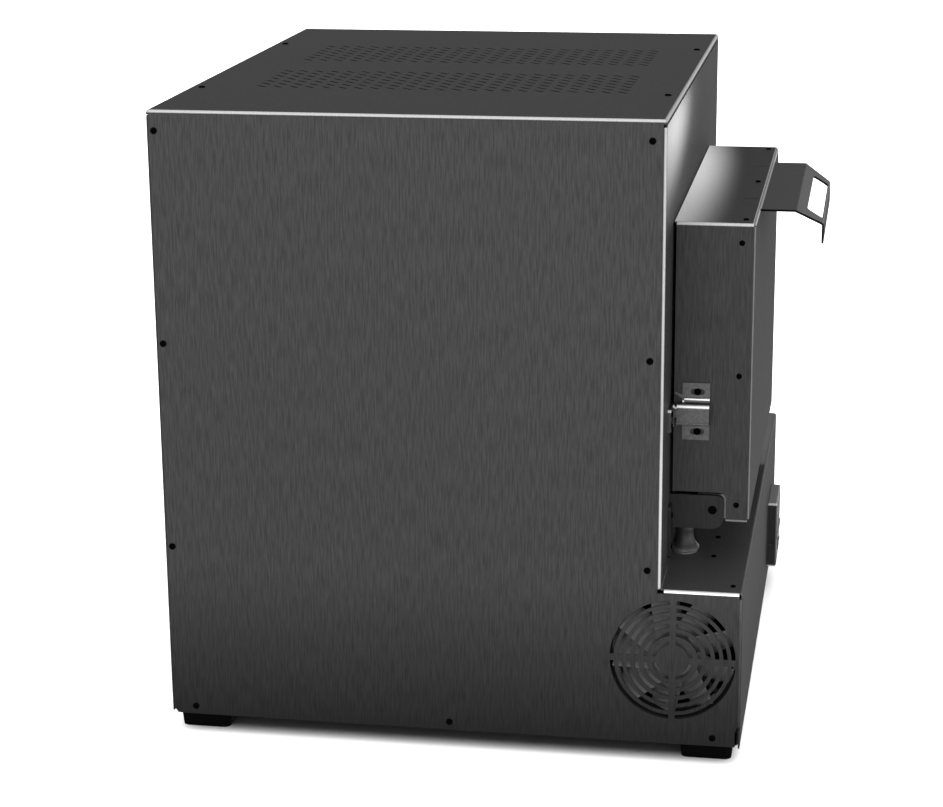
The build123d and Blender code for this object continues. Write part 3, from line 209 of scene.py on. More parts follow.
# the clips: a paler spring steel, with a brighter painted highlight along their bends
clipSteel = dict(sheetSteel, dark=(0.10, 0.10, 0.102), light=(0.192, 0.192, 0.194),
                 paintedHighlight=(0.75, 0.75, 0.745), metallic=0.95, roughness=(0.28, 0.38), grain=(700, 700, 700),
                 streak=(300, 300, 300), paintedShadeLow=1.0)


# weights say how strongly each kind of bend gets a painted highlight; the last two arguments bound a painted
# highlight strip on the top face, along the width
def brushedSteel(name, look, weights, uprightAbove=0, highlightFrom=0, highlightTo=0):
    material, tree, shader = freshMaterial(name)
    grain = noise(tree, objectPoints(tree, look["grain"]), 1.0, "brushed")
    streak = noise(tree, objectPoints(tree, look["streak"]), 1.0, "streaks")
    cloud = noise(tree, objectPoints(tree, (1, 1, 1)), look["cloud"], "clouds")
    streaked = spread(tree, streak, look["streakLow"], 1.0, *look["streakSpan"])
    tone = combine(tree, "MULTIPLY", spread(tree, grain, look["grainLow"], 1.0), streaked)
    tone = combine(tree, "MULTIPLY", tone, spread(tree, cloud, look["cloudLow"], 1.0))
    colour = tint(tree, tone, look["dark"], look["light"])
    # painted shade: the tone darkens towards the bottom
    if look["paintedShadeLow"] < 1:
        paintedShade = spread(tree, placeOf(tree, "Z"), 1 - look["paintedShadeLow"], 0.0, *look["paintedShadeSpan"])
        colour = tint(tree, paintedShade, colour, (0.0, 0.0, 0.0))
    # painted shade on the faces that look sideways
    if "paintedSideShade" in look:
        sideways = combine(tree, "ABSOLUTE", placeOf(tree, "X", "Normal"), 0.0)
        colour = tint(tree, spread(tree, sideways, 0.0, 1.0, *look["paintedSideShadeTurn"]), colour, look["paintedSideShade"])
    # painted highlight along the bends
    paintedHighlight = bendHighlightMask(tree, weights, uprightAbove)
    # a painted highlight strip on the top face, between the two bounds
    if highlightFrom != highlightTo:
        fade = look["stripFade"]
        behind = spread(tree, placeOf(tree, "Y"), 0.0, 1.0, highlightFrom - fade, highlightFrom + fade)
        before = spread(tree, placeOf(tree, "Y"), 1.0, 0.0, highlightTo - fade, highlightTo + fade)
        top = spread(tree, placeOf(tree, "Z", "Normal"), 0.0, 1.0, *look["topTurn"])
        strip = combine(tree, "MULTIPLY", combine(tree, "MULTIPLY", behind, before), top)
        paintedHighlight = combine(tree, "MAXIMUM", paintedHighlight, strip)
    if paintedHighlight:
        paintedHighlight = combine(tree, "MULTIPLY", paintedHighlight, spread(tree, grain, look["paintedHighlightLow"], 1.0))
        colour = tint(tree, paintedHighlight, colour, look["paintedHighlight"])
    tree.links.new(colour, shader.inputs["Base Color"])
    low, high = look["roughness"]
    tree.links.new(spread(tree, grain, high, low), shader.inputs["Roughness"])
    shader.inputs["Metallic"].default_value = look["metallic"]
    shader.inputs["Specular IOR Level"].default_value = look["gloss"]
    shader.inputs["Specular Tint"].default_value = (*look["edgeTint"], 1)
    relief(tree, shader, grain, look["bump"], look["bumpDepth"])
    return material


# other finishes, each a plain surface with fine grain and a little soiling

plainFinishes = {
    "zincSteel": dict(dark=(0.26, 0.27, 0.28), light=(0.42, 0.43, 0.44), metallic=0.9,
                      rough=(0.32, 0.5), grain=60, bump=0.05),
    "pinSteel": dict(dark=(0.008, 0.008, 0.008), light=(0.02, 0.02, 0.02), metallic=0.5,
                     rough=(0.4, 0.55), grain=900, bump=0.05),
    "probeSteel": dict(dark=(0.16, 0.12, 0.09), light=(0.36, 0.34, 0.32), metallic=0.9,
                       rough=(0.3, 0.5), grain=120, bump=0.05),
    "blackScrew": dict(dark=(0.001, 0.001, 0.001), light=(0.002, 0.002, 0.002), metallic=0.0,
                       rough=(0.45, 0.6), grain=1500, bump=0.08, gloss=0.0),
    "plainAluminium": dict(dark=(0.42, 0.43, 0.44), light=(0.6, 0.61, 0.62), metallic=1.0,
                           rough=(0.3, 0.45), grain=800, bump=0.05),
    "elementRod": dict(dark=(0.045, 0.036, 0.03), light=(0.11, 0.09, 0.08), metallic=0.3,
                       rough=(0.6, 0.8), grain=600, bump=0.25),
    "whiteCeramic": dict(dark=(0.58, 0.55, 0.49), light=(0.76, 0.74, 0.69), metallic=0.0,
                         rough=(0.25, 0.4), grain=400, bump=0.04),
    "blackRubber": dict(dark=(0.001, 0.001, 0.001), light=(0.003, 0.003, 0.003), metallic=0.0,
                        rough=(0.7, 0.85), grain=700, bump=0.2, gloss=0.02),
    "blackPlastic": dict(dark=(0.006, 0.006, 0.006), light=(0.013, 0.013, 0.013), metallic=0.0,
                         rough=(0.5, 0.62), grain=1400, bump=0.12),
    "casePlastic": dict(dark=(0.014, 0.014, 0.0145), light=(0.028, 0.028, 0.029), metallic=0.0,
                        rough=(0.45, 0.6), grain=1400, bump=0.18),
    "palePlastic": dict(dark=(0.25, 0.25, 0.24), light=(0.36, 0.36, 0.34), metallic=0.0,
                        rough=(0.4, 0.55), grain=1200, bump=0.12),
    "bladePlastic": dict(dark=(0.10, 0.10, 0.101), light=(0.155, 0.155, 0.156), metallic=0.0,
                         rough=(0.4, 0.52), grain=1300, bump=0.08),
    "keyRubber": dict(dark=(0.09, 0.09, 0.092), light=(0.14, 0.14, 0.142), metallic=0.0,
                      rough=(0.5, 0.65), grain=1500, bump=0.1),
    "markPaint": dict(dark=(0.62, 0.62, 0.61), light=(0.74, 0.74, 0.73), metallic=0.0,
                      rough=(0.5, 0.6), grain=1800, bump=0.05),
    "switchPlastic": dict(dark=(0.007, 0.007, 0.007), light=(0.014, 0.014, 0.014), metallic=0.0,
                          rough=(0.2, 0.3), grain=1500, bump=0.04),
    "lampLens": dict(dark=(0.2, 0.19, 0.18), light=(0.3, 0.29, 0.27), metallic=0.0,
                     rough=(0.15, 0.25), grain=900, bump=0.05),
    "smokedGlass": dict(dark=(0.004, 0.005, 0.006), light=(0.008, 0.009, 0.01), metallic=0.0,
                        rough=(0.05, 0.1), grain=300, bump=0.0),
    "unlitSegment": dict(dark=(0.014, 0.016, 0.018), light=(0.022, 0.024, 0.026), metallic=0.0,
                         rough=(0.2, 0.3), grain=900, bump=0.0),
}


# what the plain finishes share
plainPattern = {
    "grainLow": 0.3,
    "cloud": 9.0,
    "cloudLow": 0.7,
    "gloss": 0.5,
    "bumpDepth": 0.0003,
}


def plainFinish(name, look, shared):
    material, tree, shader = freshMaterial(name)
    points = objectPoints(tree, (1, 1, 1))
    grain = noise(tree, points, look["grain"], "fine")
    cloud = noise(tree, points, shared["cloud"], "clouds")
    clouded = spread(tree, cloud, shared["cloudLow"], 1.0)
    tone = combine(tree, "MULTIPLY", spread(tree, grain, shared["grainLow"], 1.0), clouded)
    tree.links.new(tint(tree, tone, look["dark"], look["light"]), shader.inputs["Base Color"])
    low, high = look["rough"]
    tree.links.new(spread(tree, cloud, high, low), shader.inputs["Roughness"])
    shader.inputs["Metallic"].default_value = look["metallic"]
    shader.inputs["Specular IOR Level"].default_value = look.get("gloss", shared["gloss"])
    if look["bump"]:
        relief(tree, shader, grain, look["bump"], shared["bumpDepth"])
    return material


# the control unit's hood: top and front painted paler than the two cheeks, a painted light and shade, with a
# painted highlight line where they meet

hoodFinish = {
    "cheek": (0.010, 0.010, 0.0105),
    "dark": (0.085, 0.085, 0.086),
    "light": (0.130, 0.130, 0.131),
    "paintedEdgeHighlight": (0.62, 0.62, 0.62),
    "paintedEdgeHighlightWeight": 0.7,
    "cheekTurn": (0.55, 0.75),
    "grain": 1400,
    "grainLow": 0.3,
    "roughness": (0.45, 0.6),
    "gloss": 0.4,
    "bump": 0.15,
    "bumpDepth": 0.0003,
}


def hoodPlastic(name, look):
    material, tree, shader = freshMaterial(name)
    grain = noise(tree, objectPoints(tree, (1, 1, 1)), look["grain"], "fine")
    sideways = combine(tree, "ABSOLUTE", placeOf(tree, "X", "Normal"), 0.0)
    colour = tint(tree, spread(tree, grain, look["grainLow"], 1.0), look["dark"], look["light"])
    # painted shade on the cheeks, and a painted highlight where they meet the top and front
    colour = tint(tree, spread(tree, sideways, 0.0, 1.0, *look["cheekTurn"]), colour, look["cheek"])
    colour = tint(tree, bendHighlightMask(tree, (look["paintedEdgeHighlightWeight"], 0, 0), 0), colour, look["paintedEdgeHighlight"])
    tree.links.new(colour, shader.inputs["Base Color"])
    low, high = look["roughness"]
    tree.links.new(spread(tree, grain, high, low), shader.inputs["Roughness"])
    shader.inputs["Specular IOR Level"].default_value = look["gloss"]
    relief(tree, shader, grain, look["bump"], look["bumpDepth"])
    return material


# the switch post: turned steel, with a painted highlight on the flare of its foot

postFinish = {
    "dark": (0.030, 0.030, 0.0305),
    "light": (0.060, 0.060, 0.061),
    "paintedEdgeHighlight": (0.26, 0.26, 0.258),
    "paintedEdgeHighlightLow": 0.6,
    "footFrom": 0.0022,
    "footTo": 0.0120,
    "footFade": (0.0015, 0.004),
    "grain": 700,
    "grainLow": 0.3,
    "roughness": (0.40, 0.52),
    "metallic": 0.5,
    "bump": 0.05,
    "bumpDepth": 0.0003,
}


def postSteel(name, look, shelf):
    material, tree, shader = freshMaterial(name)
    grain = noise(tree, objectPoints(tree, (1, 1, 1)), look["grain"], "fine")
    # a painted highlight on the flare of the foot
    height = combine(tree, "SUBTRACT", placeOf(tree, "Z"), shelf)
    lowerFade, upperFade = look["footFade"]
    above = spread(tree, height, 0.0, 1.0, look["footFrom"] - lowerFade, look["footFrom"])
    below = spread(tree, height, 1.0, 0.0, look["footTo"] - upperFade, look["footTo"])
    foot = combine(tree, "MULTIPLY", above, below)
    foot = combine(tree, "MULTIPLY", foot, spread(tree, grain, look["paintedEdgeHighlightLow"], 1.0))
    colour = tint(tree, spread(tree, grain, look["grainLow"], 1.0), look["dark"], look["light"])
    tree.links.new(tint(tree, foot, colour, look["paintedEdgeHighlight"]), shader.inputs["Base Color"])
    low, high = look["roughness"]
    tree.links.new(spread(tree, grain, high, low), shader.inputs["Roughness"])
    shader.inputs["Metallic"].default_value = look["metallic"]
    relief(tree, shader, grain, look["bump"], look["bumpDepth"])
    return material


# the lining: porous brick, pressed board and fibre

liningFinishes = {
    "fireBrick": dict(dark=(0.50, 0.40, 0.28), light=(0.72, 0.63, 0.49), pores=340,
                      bump=0.6, depth=0.0008),
    "pressedBoard": dict(dark=(0.52, 0.46, 0.36), light=(0.74, 0.69, 0.58), pores=520,
                         bump=0.4, depth=0.0004),
    "ceramicFibre": dict(dark=(0.62, 0.60, 0.54), light=(0.84, 0.82, 0.77), pores=900,
                         bump=0.7, depth=0.0006),
}

# what the lining finishes share
liningPattern = {
    "grainPerPore": 0.5,
    "grainLow": 0.35,
    "cloud": 14,
    "cloudLow": 0.55,
    "pitSpan": (0.05, 0.45),
    "roughness": 0.92,
}


def liningFinish(name, look, shared):
    material, tree, shader = freshMaterial(name)
    points = objectPoints(tree, (1, 1, 1))
    pores = tree.nodes.new("ShaderNodeTexVoronoi")
    pores.inputs["Scale"].default_value = look["pores"]
    tree.links.new(points, pores.inputs["Vector"])
    grain = noise(tree, points, look["pores"] * shared["grainPerPore"], "fine")
    cloud = noise(tree, points, shared["cloud"], "clouds")
    pit = spread(tree, pores.outputs["Distance"], 0.0, 1.0, *shared["pitSpan"])
    clouded = spread(tree, cloud, shared["cloudLow"], 1.0)
    tone = combine(tree, "MULTIPLY", spread(tree, grain, shared["grainLow"], 1.0), clouded)
    tone = combine(tree, "MULTIPLY", tone, pit)
    tree.links.new(tint(tree, tone, look["dark"], look["light"]), shader.inputs["Base Color"])
    shader.inputs["Roughness"].default_value = shared["roughness"]
    relief(tree, shader, combine(tree, "ADD", pit, grain), look["bump"], look["depth"])
    return material


# a woven rope: two sets of slanting strands that cross

ropeWeave = {
    "dark": (0.50, 0.48, 0.43),
    "light": (0.82, 0.80, 0.75),
    "slant": 45,
    "pitch": 0.0022,
    "strandLow": 0.15,
    "strandSpan": (-0.6, 0.9),
    "fluff": 2600,
    "fluffLow": 0.6,
    "roughness": 0.95,
    "bump": 0.8,
    "bumpDepth": 0.0003,
}


def wovenRope(name, look):
    material, tree, shader = freshMaterial(name)
    waves = []
    for slant in (1, -1):
        points = objectPoints(tree, (1, 1, 1), (0, slant * math.radians(look["slant"]), 0))
        apart = tree.nodes.new("ShaderNodeSeparateXYZ")
        tree.links.new(points, apart.inputs["Vector"])
        turns = combine(tree, "MULTIPLY", apart.outputs["X"], 2 * math.pi / look["pitch"])
        waves.append(combine(tree, "SINE", turns, 0.0))
    weave = combine(tree, "MAXIMUM", waves[0], waves[1])
    fluff = noise(tree, objectPoints(tree, (1, 1, 1)), look["fluff"], "brushed")
    strands = spread(tree, weave, look["strandLow"], 1.0, *look["strandSpan"])
    tone = combine(tree, "MULTIPLY", strands, spread(tree, fluff, look["fluffLow"], 1.0))
    tree.links.new(tint(tree, tone, look["dark"], look["light"]), shader.inputs["Base Color"])
    shader.inputs["Roughness"].default_value = look["roughness"]
    relief(tree, shader, combine(tree, "ADD", weave, fluff), look["bump"], look["bumpDepth"])
    return material


# the painted highlight line that the door's front edge makes on top, which runs a little past the sheets it
# lies on
doorEdge = {
    "front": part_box("door_front_panel")[0].y,
    "casing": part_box("door_casing")[0].y,
    "width": 0.0012,
    "past": 0.001,
    "pastHandle": 0.0003,
}
edgeEnd = doorEdge["casing"] + doorEdge["width"]
shelfBend = 0.168  # height where the front sheet's upright bends start to get the painted highlight

finishes = {
    "flatSteel": brushedSteel("flatSteel", sheetSteel, (0, 0, 0)),
    "handleSteel": brushedSteel("handleSteel", handleSteel, (0, 0, 0), 0,
                                doorEdge["front"] - doorEdge["pastHandle"], edgeEnd),
    "coverSteel": brushedSteel("coverSteel", sheetSteel, (1.0, 1.0, 0)),
    "frontSteel": brushedSteel("frontSteel", sheetSteel, (1.0, 0, 1.0), shelfBend),
    "doorSteel": brushedSteel("doorSteel", doorSteel, (1.0, 0, 0.25), 0,
                              doorEdge["casing"] - doorEdge["past"], edgeEnd),
    "doorFrontSteel": brushedSteel("doorFrontSteel", sheetSteel, (1.0, 1.0, 0.25), 0,
                                   doorEdge["front"] - doorEdge["past"], edgeEnd),
    "shadedEarSteel": brushedSteel("shadedEarSteel", shadedEarSteel, (0, 0, 0)),
    "clipSteel": brushedSteel("clipSteel", clipSteel, (1.0, 0, 0.4)),
    "fibreRope": wovenRope("fibreRope", ropeWeave),
    "hoodPlastic": hoodPlastic("hoodPlastic", hoodFinish),
    "postSteel": postSteel("postSteel", postFinish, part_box("shelf_screws")[0].z),
}
for name, look in plainFinishes.items():
    finishes[name] = plainFinish(name, look, plainPattern)
for name, look in liningFinishes.items():
    finishes[name] = liningFinish(name, look, liningPattern)
print("finishes made:", len(finishes))


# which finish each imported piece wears

wornBy = {
    "flatSteel": "left_side_panel right_side_panel top_rails",
    "handleSteel": "door_handle",
    "shadedEarSteel": "hinge_bracket_left hinge_bracket_right",
    "coverSteel": "top_cover rear_panel",
    "frontSteel": "front_fascia base_pan",
    "doorSteel": "door_casing",
    "doorFrontSteel": "door_front_panel",
    "zincSteel": "chamber_casing bay_frame heat_shield fan_bracket fan_screws pivot_blocks",
    "clipSteel": "catch_clips catch_strikers",
    "postSteel": "door_switch_body",
    "pinSteel": "door_switch_plunger",
    "probeSteel": "thermocouple",
    "blackScrew": "side_panel_screws cover_screws shelf_screws front_fitting_screws door_screws "
                  "clip_screws hinge_pins",
    "plainAluminium": "heat_sink",
    "elementRod": "heating_elements",
    "whiteCeramic": "element_bushes terminal_block chamber_standoffs",
    "blackRubber": "feet",
    "blackPlastic": "fan_frame mains_inlet switch_housing",
    "palePlastic": "contactor",
    "bladePlastic": "fan_rotor",
    "hoodPlastic": "controller_case",
    "casePlastic": "solid_state_relays",
    "keyRubber": "key_set key_shift key_down key_up",
    "switchPlastic": "power_rocker",
    "lampLens": "indicator_lamps",
    "smokedGlass": "controller_window",
    "fireBrick": "hearth_brick roof_brick side_bricks rear_brick",
    "pressedBoard": "mouth_collar door_insulation",
    "ceramicFibre": "fibre_insulation door_gasket",
}
for finish, names in wornBy.items():
    for name in names.split():
        piece = nodes[name]
        piece.data.materials.clear()
        piece.data.materials.append(finishes[finish])
unfinished = [name for name, piece in nodes.items() if not piece.data.materials]
print("pieces finished, left over:", unfinished)


# modelling helpers: everything is deselected, and a piece ends at the origin with its place in its mesh

def startPiece():
    if bpy.context.object and bpy.context.object.mode != "OBJECT":
        bpy.ops.object.mode_set(mode="OBJECT")
    bpy.ops.object.select_all(action="DESELECT")


def chooseOnly(piece):
    startPiece()
    piece.select_set(True)
    bpy.context.view_layer.objects.active = piece


def applyAll(piece):
    chooseOnly(piece)
    for modifier in list(piece.modifiers):
        bpy.ops.object.modifier_apply(modifier=modifier.name)
    bpy.ops.object.transform_apply(location=True, rotation=True, scale=True)


def joined(pieces, name):
    chooseOnly(pieces[0])
    for piece in pieces[1:]:
        piece.select_set(True)
    if len(pieces) > 1:
        bpy.ops.object.join()
    whole = bpy.context.active_object
    whole.name = whole.data.name = name
    return whole


mergeWithin = 0.000002
flatTurn = 0.9  # how squarely a face looks along an axis to count as an end face


def outwards(piece):
    chooseOnly(piece)
    bpy.ops.object.mode_set(mode="EDIT")
    bpy.ops.mesh.select_all(action="SELECT")
    bpy.ops.mesh.remove_doubles(threshold=mergeWithin)
    bpy.ops.mesh.normals_make_consistent(inside=False)
    bpy.ops.object.mode_set(mode="OBJECT")


def wear(piece, finish):
    piece.data.materials.clear()
    piece.data.materials.append(finishes[finish])


# the fan rotor: a cupped hub with nine curved and twisted blades

fanRotor = {
    "hubRadius": 0.020,
    "hubRim": 0.0022,
    "hubCup": 0.0030,
    "hubSides": 96,
    "hubRound": 0.0016,
    "cupArea": 0.0005,
    "bladeCount": 9,
    "bladeGrid": (8, 10),
    "rootSunk": 0.0012,
    "bladeReach": 0.0556,
    "bladeChord": 0.0300,
    "rootPitch": 42,
    "tipPitch": 27,
    "camber": 18,
    "thickness": 0.0014,
    "rimShare": 0.3,
    "smoothUnder": 35,
}


def makeBlade(look, centre):
    startPiece()
    root = look["hubRadius"] - look["rootSunk"]
    span = look["bladeReach"] - root
    across, along = look["bladeGrid"]
    bpy.ops.mesh.primitive_grid_add(x_subdivisions=across, y_subdivisions=along, size=1, location=(0, 0, 0))
    blade = bpy.context.active_object
    blade.scale = (look["bladeChord"], span, 1)
    bpy.ops.object.transform_apply(location=False, rotation=False, scale=True)
    camber = blade.modifiers.new("camber", "SIMPLE_DEFORM")
    camber.deform_method, camber.deform_axis = "BEND", "Y"
    camber.angle = math.radians(look["camber"])
    twist = blade.modifiers.new("twist", "SIMPLE_DEFORM")
    twist.deform_method, twist.deform_axis = "TWIST", "Y"
    twist.angle = math.radians(look["rootPitch"] - look["tipPitch"])
    wall = blade.modifiers.new("wall", "SOLIDIFY")
    wall.thickness, wall.offset = look["thickness"], 0
    applyAll(blade)
    blade.rotation_euler = (0, math.radians(90 + (look["rootPitch"] + look["tipPitch"]) / 2), 0)
    blade.location = (0, root + span / 2, 0)
    applyAll(blade)
    rim = blade.modifiers.new("rim", "BEVEL")
    rim.width, rim.segments, rim.limit_method = look["thickness"] * look["rimShare"], 2, "ANGLE"
    applyAll(blade)
    blade.location = centre
    return blade


def makeHub(look, low, high, centre):
    startPiece()
    depth = high - low
    bpy.ops.mesh.primitive_cylinder_add(vertices=look["hubSides"], radius=look["hubRadius"], depth=depth,
                                        location=(0, 0, 0))
    hub = bpy.context.active_object
    bpy.ops.object.mode_set(mode="EDIT")
    bpy.ops.mesh.select_all(action="DESELECT")
    bpy.ops.object.mode_set(mode="OBJECT")
    for face in hub.data.polygons:
        face.select = abs(face.normal.z) > flatTurn
    bpy.ops.object.mode_set(mode="EDIT")
    bpy.ops.mesh.inset(thickness=look["hubRim"], depth=0)
    bpy.ops.mesh.select_all(action="DESELECT")
    bpy.ops.object.mode_set(mode="OBJECT")
    for face in hub.data.polygons:
        face.select = face.normal.z < -flatTurn and face.area > look["cupArea"]
    bpy.ops.object.mode_set(mode="EDIT")
    bpy.ops.mesh.extrude_region_move(TRANSFORM_OT_translate={"value": (0, 0, look["hubCup"])})
    bpy.ops.object.mode_set(mode="OBJECT")
    rounding = hub.modifiers.new("rounding", "BEVEL")
    rounding.width, rounding.segments, rounding.limit_method = look["hubRound"], 3, "ANGLE"
    applyAll(hub)
    hub.rotation_euler = (0, math.radians(90), 0)
    hub.location = ((low + high) / 2, centre[1], centre[2])
    applyAll(hub)
    return hub


fanLow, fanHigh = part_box("fan_rotor")
fanCentre = ((fanLow.x + fanHigh.x) / 2, (fanLow.y + fanHigh.y) / 2, (fanLow.z + fanHigh.z) / 2)
firstBlade = makeBlade(fanRotor, (0, 0, 0))
blades = []
for index in range(fanRotor["bladeCount"]):
    blade = firstBlade.copy()
    blade.data = firstBlade.data.copy()
    scene.collection.objects.link(blade)
    blade.rotation_euler = (math.radians(360 * index / fanRotor["bladeCount"]), 0, 0)
    blade.location = fanCentre
    applyAll(blade)
    blades.append(blade)
bpy.data.objects.remove(firstBlade)
rotor = joined([makeHub(fanRotor, fanLow.x, fanHigh.x, fanCentre)] + blades, "fanRotor")
chooseOnly(rotor)
bpy.ops.object.shade_smooth_by_angle(angle=math.radians(fanRotor["smoothUnder"]))
wear(rotor, "bladePlastic")
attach(rotor, "fan")
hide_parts("fan_rotor")
print("fan rotor made:", len(rotor.data.polygons), "faces")


# the door gasket: a flattened woven rope that runs round the mouth

gasketRope = {
    "width": 0.0116,
    "corner": 0.016,
    "cornerSteps": 10,
    "sectionPoints": 16,
}
ropeLow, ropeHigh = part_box("door_gasket")


def makeRope(look, low, high):
    startPiece()
    thickness = high.y - low.y
    inset = look["width"] / 2
    left, right = low.x + inset, high.x - inset
    bottom, top = low.z + inset, high.z - inset
    middle = (low.y + high.y) / 2
    corner = look["corner"] - inset
    bpy.ops.mesh.primitive_circle_add(vertices=look["sectionPoints"], radius=0.5,
                                      location=(left + corner, middle, bottom),
                                      rotation=(0, math.radians(90), 0))
    rope = bpy.context.active_object
    bpy.ops.object.transform_apply(location=False, rotation=True, scale=False)
    rope.scale = (1, thickness, look["width"])
    bpy.ops.object.transform_apply(location=True, rotation=False, scale=True)
    bpy.ops.object.mode_set(mode="EDIT")
    bpy.ops.mesh.select_all(action="SELECT")
    runs = [
        ((right - left - 2 * corner, 0, 0), (right - corner, middle, bottom + corner)),
        ((0, 0, top - bottom - 2 * corner), (right - corner, middle, top - corner)),
        ((left - right + 2 * corner, 0, 0), (left + corner, middle, top - corner)),
        ((0, 0, bottom - top + 2 * corner), (left + corner, middle, bottom + corner)),
    ]
    for run, centre in runs:
        bpy.ops.mesh.extrude_region_move(TRANSFORM_OT_translate={"value": run})
        bpy.ops.mesh.spin(steps=look["cornerSteps"], angle=math.radians(90), center=centre,
                          axis=(0, 1, 0))
    bpy.ops.object.mode_set(mode="OBJECT")
    outwards(rope)
    bpy.ops.object.shade_smooth()
    rope.name = rope.data.name = "gasketRope"
    return rope


rope = makeRope(gasketRope, ropeLow, ropeHigh)
wear(rope, "fibreRope")
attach(rope, "door")
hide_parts("door_gasket")
print("gasket rope made:", len(rope.data.polygons), "faces")


# raised marks on the control unit: arrows and a dot on the keys, a bar and a ring on the rocker

keyMarks = {
    "proud": 0.00015,
    "arrow": 0.0024,
    "arrowEdge": 1.6,
    "dot": 0.0011,
    "dotWidth": 0.00035,
    "flatten": 0.5,
    "ringGrid": (32, 10),
}


def makeArrow(name, centre, turn, look):
    startPiece()
    bpy.ops.mesh.primitive_cylinder_add(vertices=3, radius=look["arrow"], depth=2 * look["proud"],
                                        location=(0, 0, 0))
    arrow = bpy.context.active_object
    bpy.ops.object.mode_set(mode="EDIT")
    bpy.ops.mesh.select_all(action="SELECT")
    bpy.ops.mesh.bevel(offset=look["proud"] * look["arrowEdge"], segments=2)
    bpy.ops.object.mode_set(mode="OBJECT")
    arrow.rotation_euler = (math.radians(90), math.radians(turn), 0)
    arrow.location = centre
    arrow.name = arrow.data.name = name
    applyAll(arrow)
    return arrow


def makeDot(name, centre, look):
    startPiece()
    around, across = look["ringGrid"]
    bpy.ops.mesh.primitive_torus_add(major_radius=look["dot"], minor_radius=look["dotWidth"],
                                     major_segments=around, minor_segments=across, location=(0, 0, 0))
    dot = bpy.context.active_object
    dot.scale = (1, 1, look["flatten"])
    dot.rotation_euler = (math.radians(90), 0, 0)
    dot.location = centre
    dot.name = dot.data.name = name
    applyAll(dot)
    return dot


keyTurns = {"key_shift": 90, "key_down": 180, "key_up": 0}
keyBodies = {"key_set": "set_key", "key_shift": "shift_key", "key_down": "down_key", "key_up": "up_key"}
for key, body in keyBodies.items():
    low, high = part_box(key)
    centre = ((low.x + high.x) / 2, low.y, (low.z + high.z) / 2)
    if key in keyTurns:
        mark = makeArrow(key + "_mark", centre, keyTurns[key], keyMarks)
    else:
        mark = makeDot(key + "_mark", centre, keyMarks)
    wear(mark, "markPaint")
    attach(mark, body)


# the rocker's marks: a bar on its upper half and a ring on its lower half
rockerMarks = {
    "rise": 0.0042,
    "bar": (0.0007, 0.0042),
    "ring": 0.0017,
    "ringWidth": 0.00035,
    "ringGrid": (32, 10),
    "flatten": 0.5,
    "proud": 0.00015,
    "barEdge": 0.6,
    "clear": 0.02,
}


def makeRockerMark(name, rocker, rise, look, ring):
    low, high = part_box(rocker)
    middle = Vector(((low.x + high.x) / 2, 0, (low.z + high.z) / 2 + rise))
    start = middle + Vector((0, low.y - look["clear"], 0))
    place, normal = nodes[rocker].ray_cast(start, Vector((0, 1, 0)))[1:3]
    startPiece()
    if ring:
        around, across = look["ringGrid"]
        bpy.ops.mesh.primitive_torus_add(major_radius=look["ring"], minor_radius=look["ringWidth"],
                                         major_segments=around, minor_segments=across, location=(0, 0, 0))
        bpy.context.active_object.scale = (1, 1, look["flatten"])
    else:
        bpy.ops.mesh.primitive_cube_add(size=1, location=(0, 0, 0))
        bpy.context.active_object.scale = (look["bar"][0], look["bar"][1], 2 * look["proud"])
    mark = bpy.context.active_object
    mark.name = mark.data.name = name
    bpy.ops.object.transform_apply(location=False, rotation=False, scale=True)
    if not ring:
        bpy.ops.object.mode_set(mode="EDIT")
        bpy.ops.mesh.select_all(action="SELECT")
        bpy.ops.mesh.bevel(offset=look["proud"] * look["barEdge"], segments=2)
        bpy.ops.object.mode_set(mode="OBJECT")
    mark.rotation_euler = normal.to_track_quat("Z", "Y").to_euler()
    mark.location = place
    applyAll(mark)
    return mark


for name, side in (("power_rocker_bar", 1), ("power_rocker_ring", -1)):
    mark = makeRockerMark(name, "power_rocker", side * rockerMarks["rise"], rockerMarks, side < 0)
    wear(mark, "markPaint")
    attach(mark, "rocker")
print("key and rocker marks made")


# the display: two rows of four unlit figures that show on the dark window

displayRows = {
    "rows": 2,
    "figures": 4,
    "figureHeight": 0.0076,
    "figureWidth": 0.0042,
    "figurePitch": 0.0088,
    "rowPitch": 0.0102,
    "barWidth": 0.0007,
    "gapAcross": 0.0012,
    "gapUpright": 0.0010,
    "proud": 0.00005,
}


def makeBar(look, x, z, long, upright, face):
    startPiece()
    bpy.ops.mesh.primitive_cube_add(size=1, location=(0, 0, 0))
    bar = bpy.context.active_object
    width, height = (look["barWidth"], long) if upright else (long, look["barWidth"])
    bar.scale = (width, 2 * look["proud"], height)
    bar.location = (x, face, z)
    applyAll(bar)
    return bar


windowLow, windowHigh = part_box("controller_window")
windowMiddle = (windowLow + windowHigh) / 2
bars = []
middleFigure, middleRow = (displayRows["figures"] - 1) / 2, (displayRows["rows"] - 1) / 2
wide, tall = displayRows["figureWidth"], displayRows["figureHeight"]
levelBar, uprightBar = wide - displayRows["gapAcross"], tall / 2 - displayRows["gapUpright"]
for row in range(displayRows["rows"]):
    for figure in range(displayRows["figures"]):
        x = windowMiddle.x + (figure - middleFigure) * displayRows["figurePitch"]
        z = windowMiddle.z + (row - middleRow) * displayRows["rowPitch"]
        places = [(0, rise * tall / 2, levelBar, False) for rise in (-1, 0, 1)]
        for side in (-1, 1):
            places += [(side * wide / 2, rise * tall / 4, uprightBar, True) for rise in (-1, 1)]
        for stepX, stepZ, long, upright in places:
            bars.append(makeBar(displayRows, x + stepX, z + stepZ, long, upright, windowLow.y))
segments = joined(bars, "displaySegments")
wear(segments, "unlitSegment")
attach(segments, "root")
print("display figures made:", len(bars), "bars")


# floor, light and camera

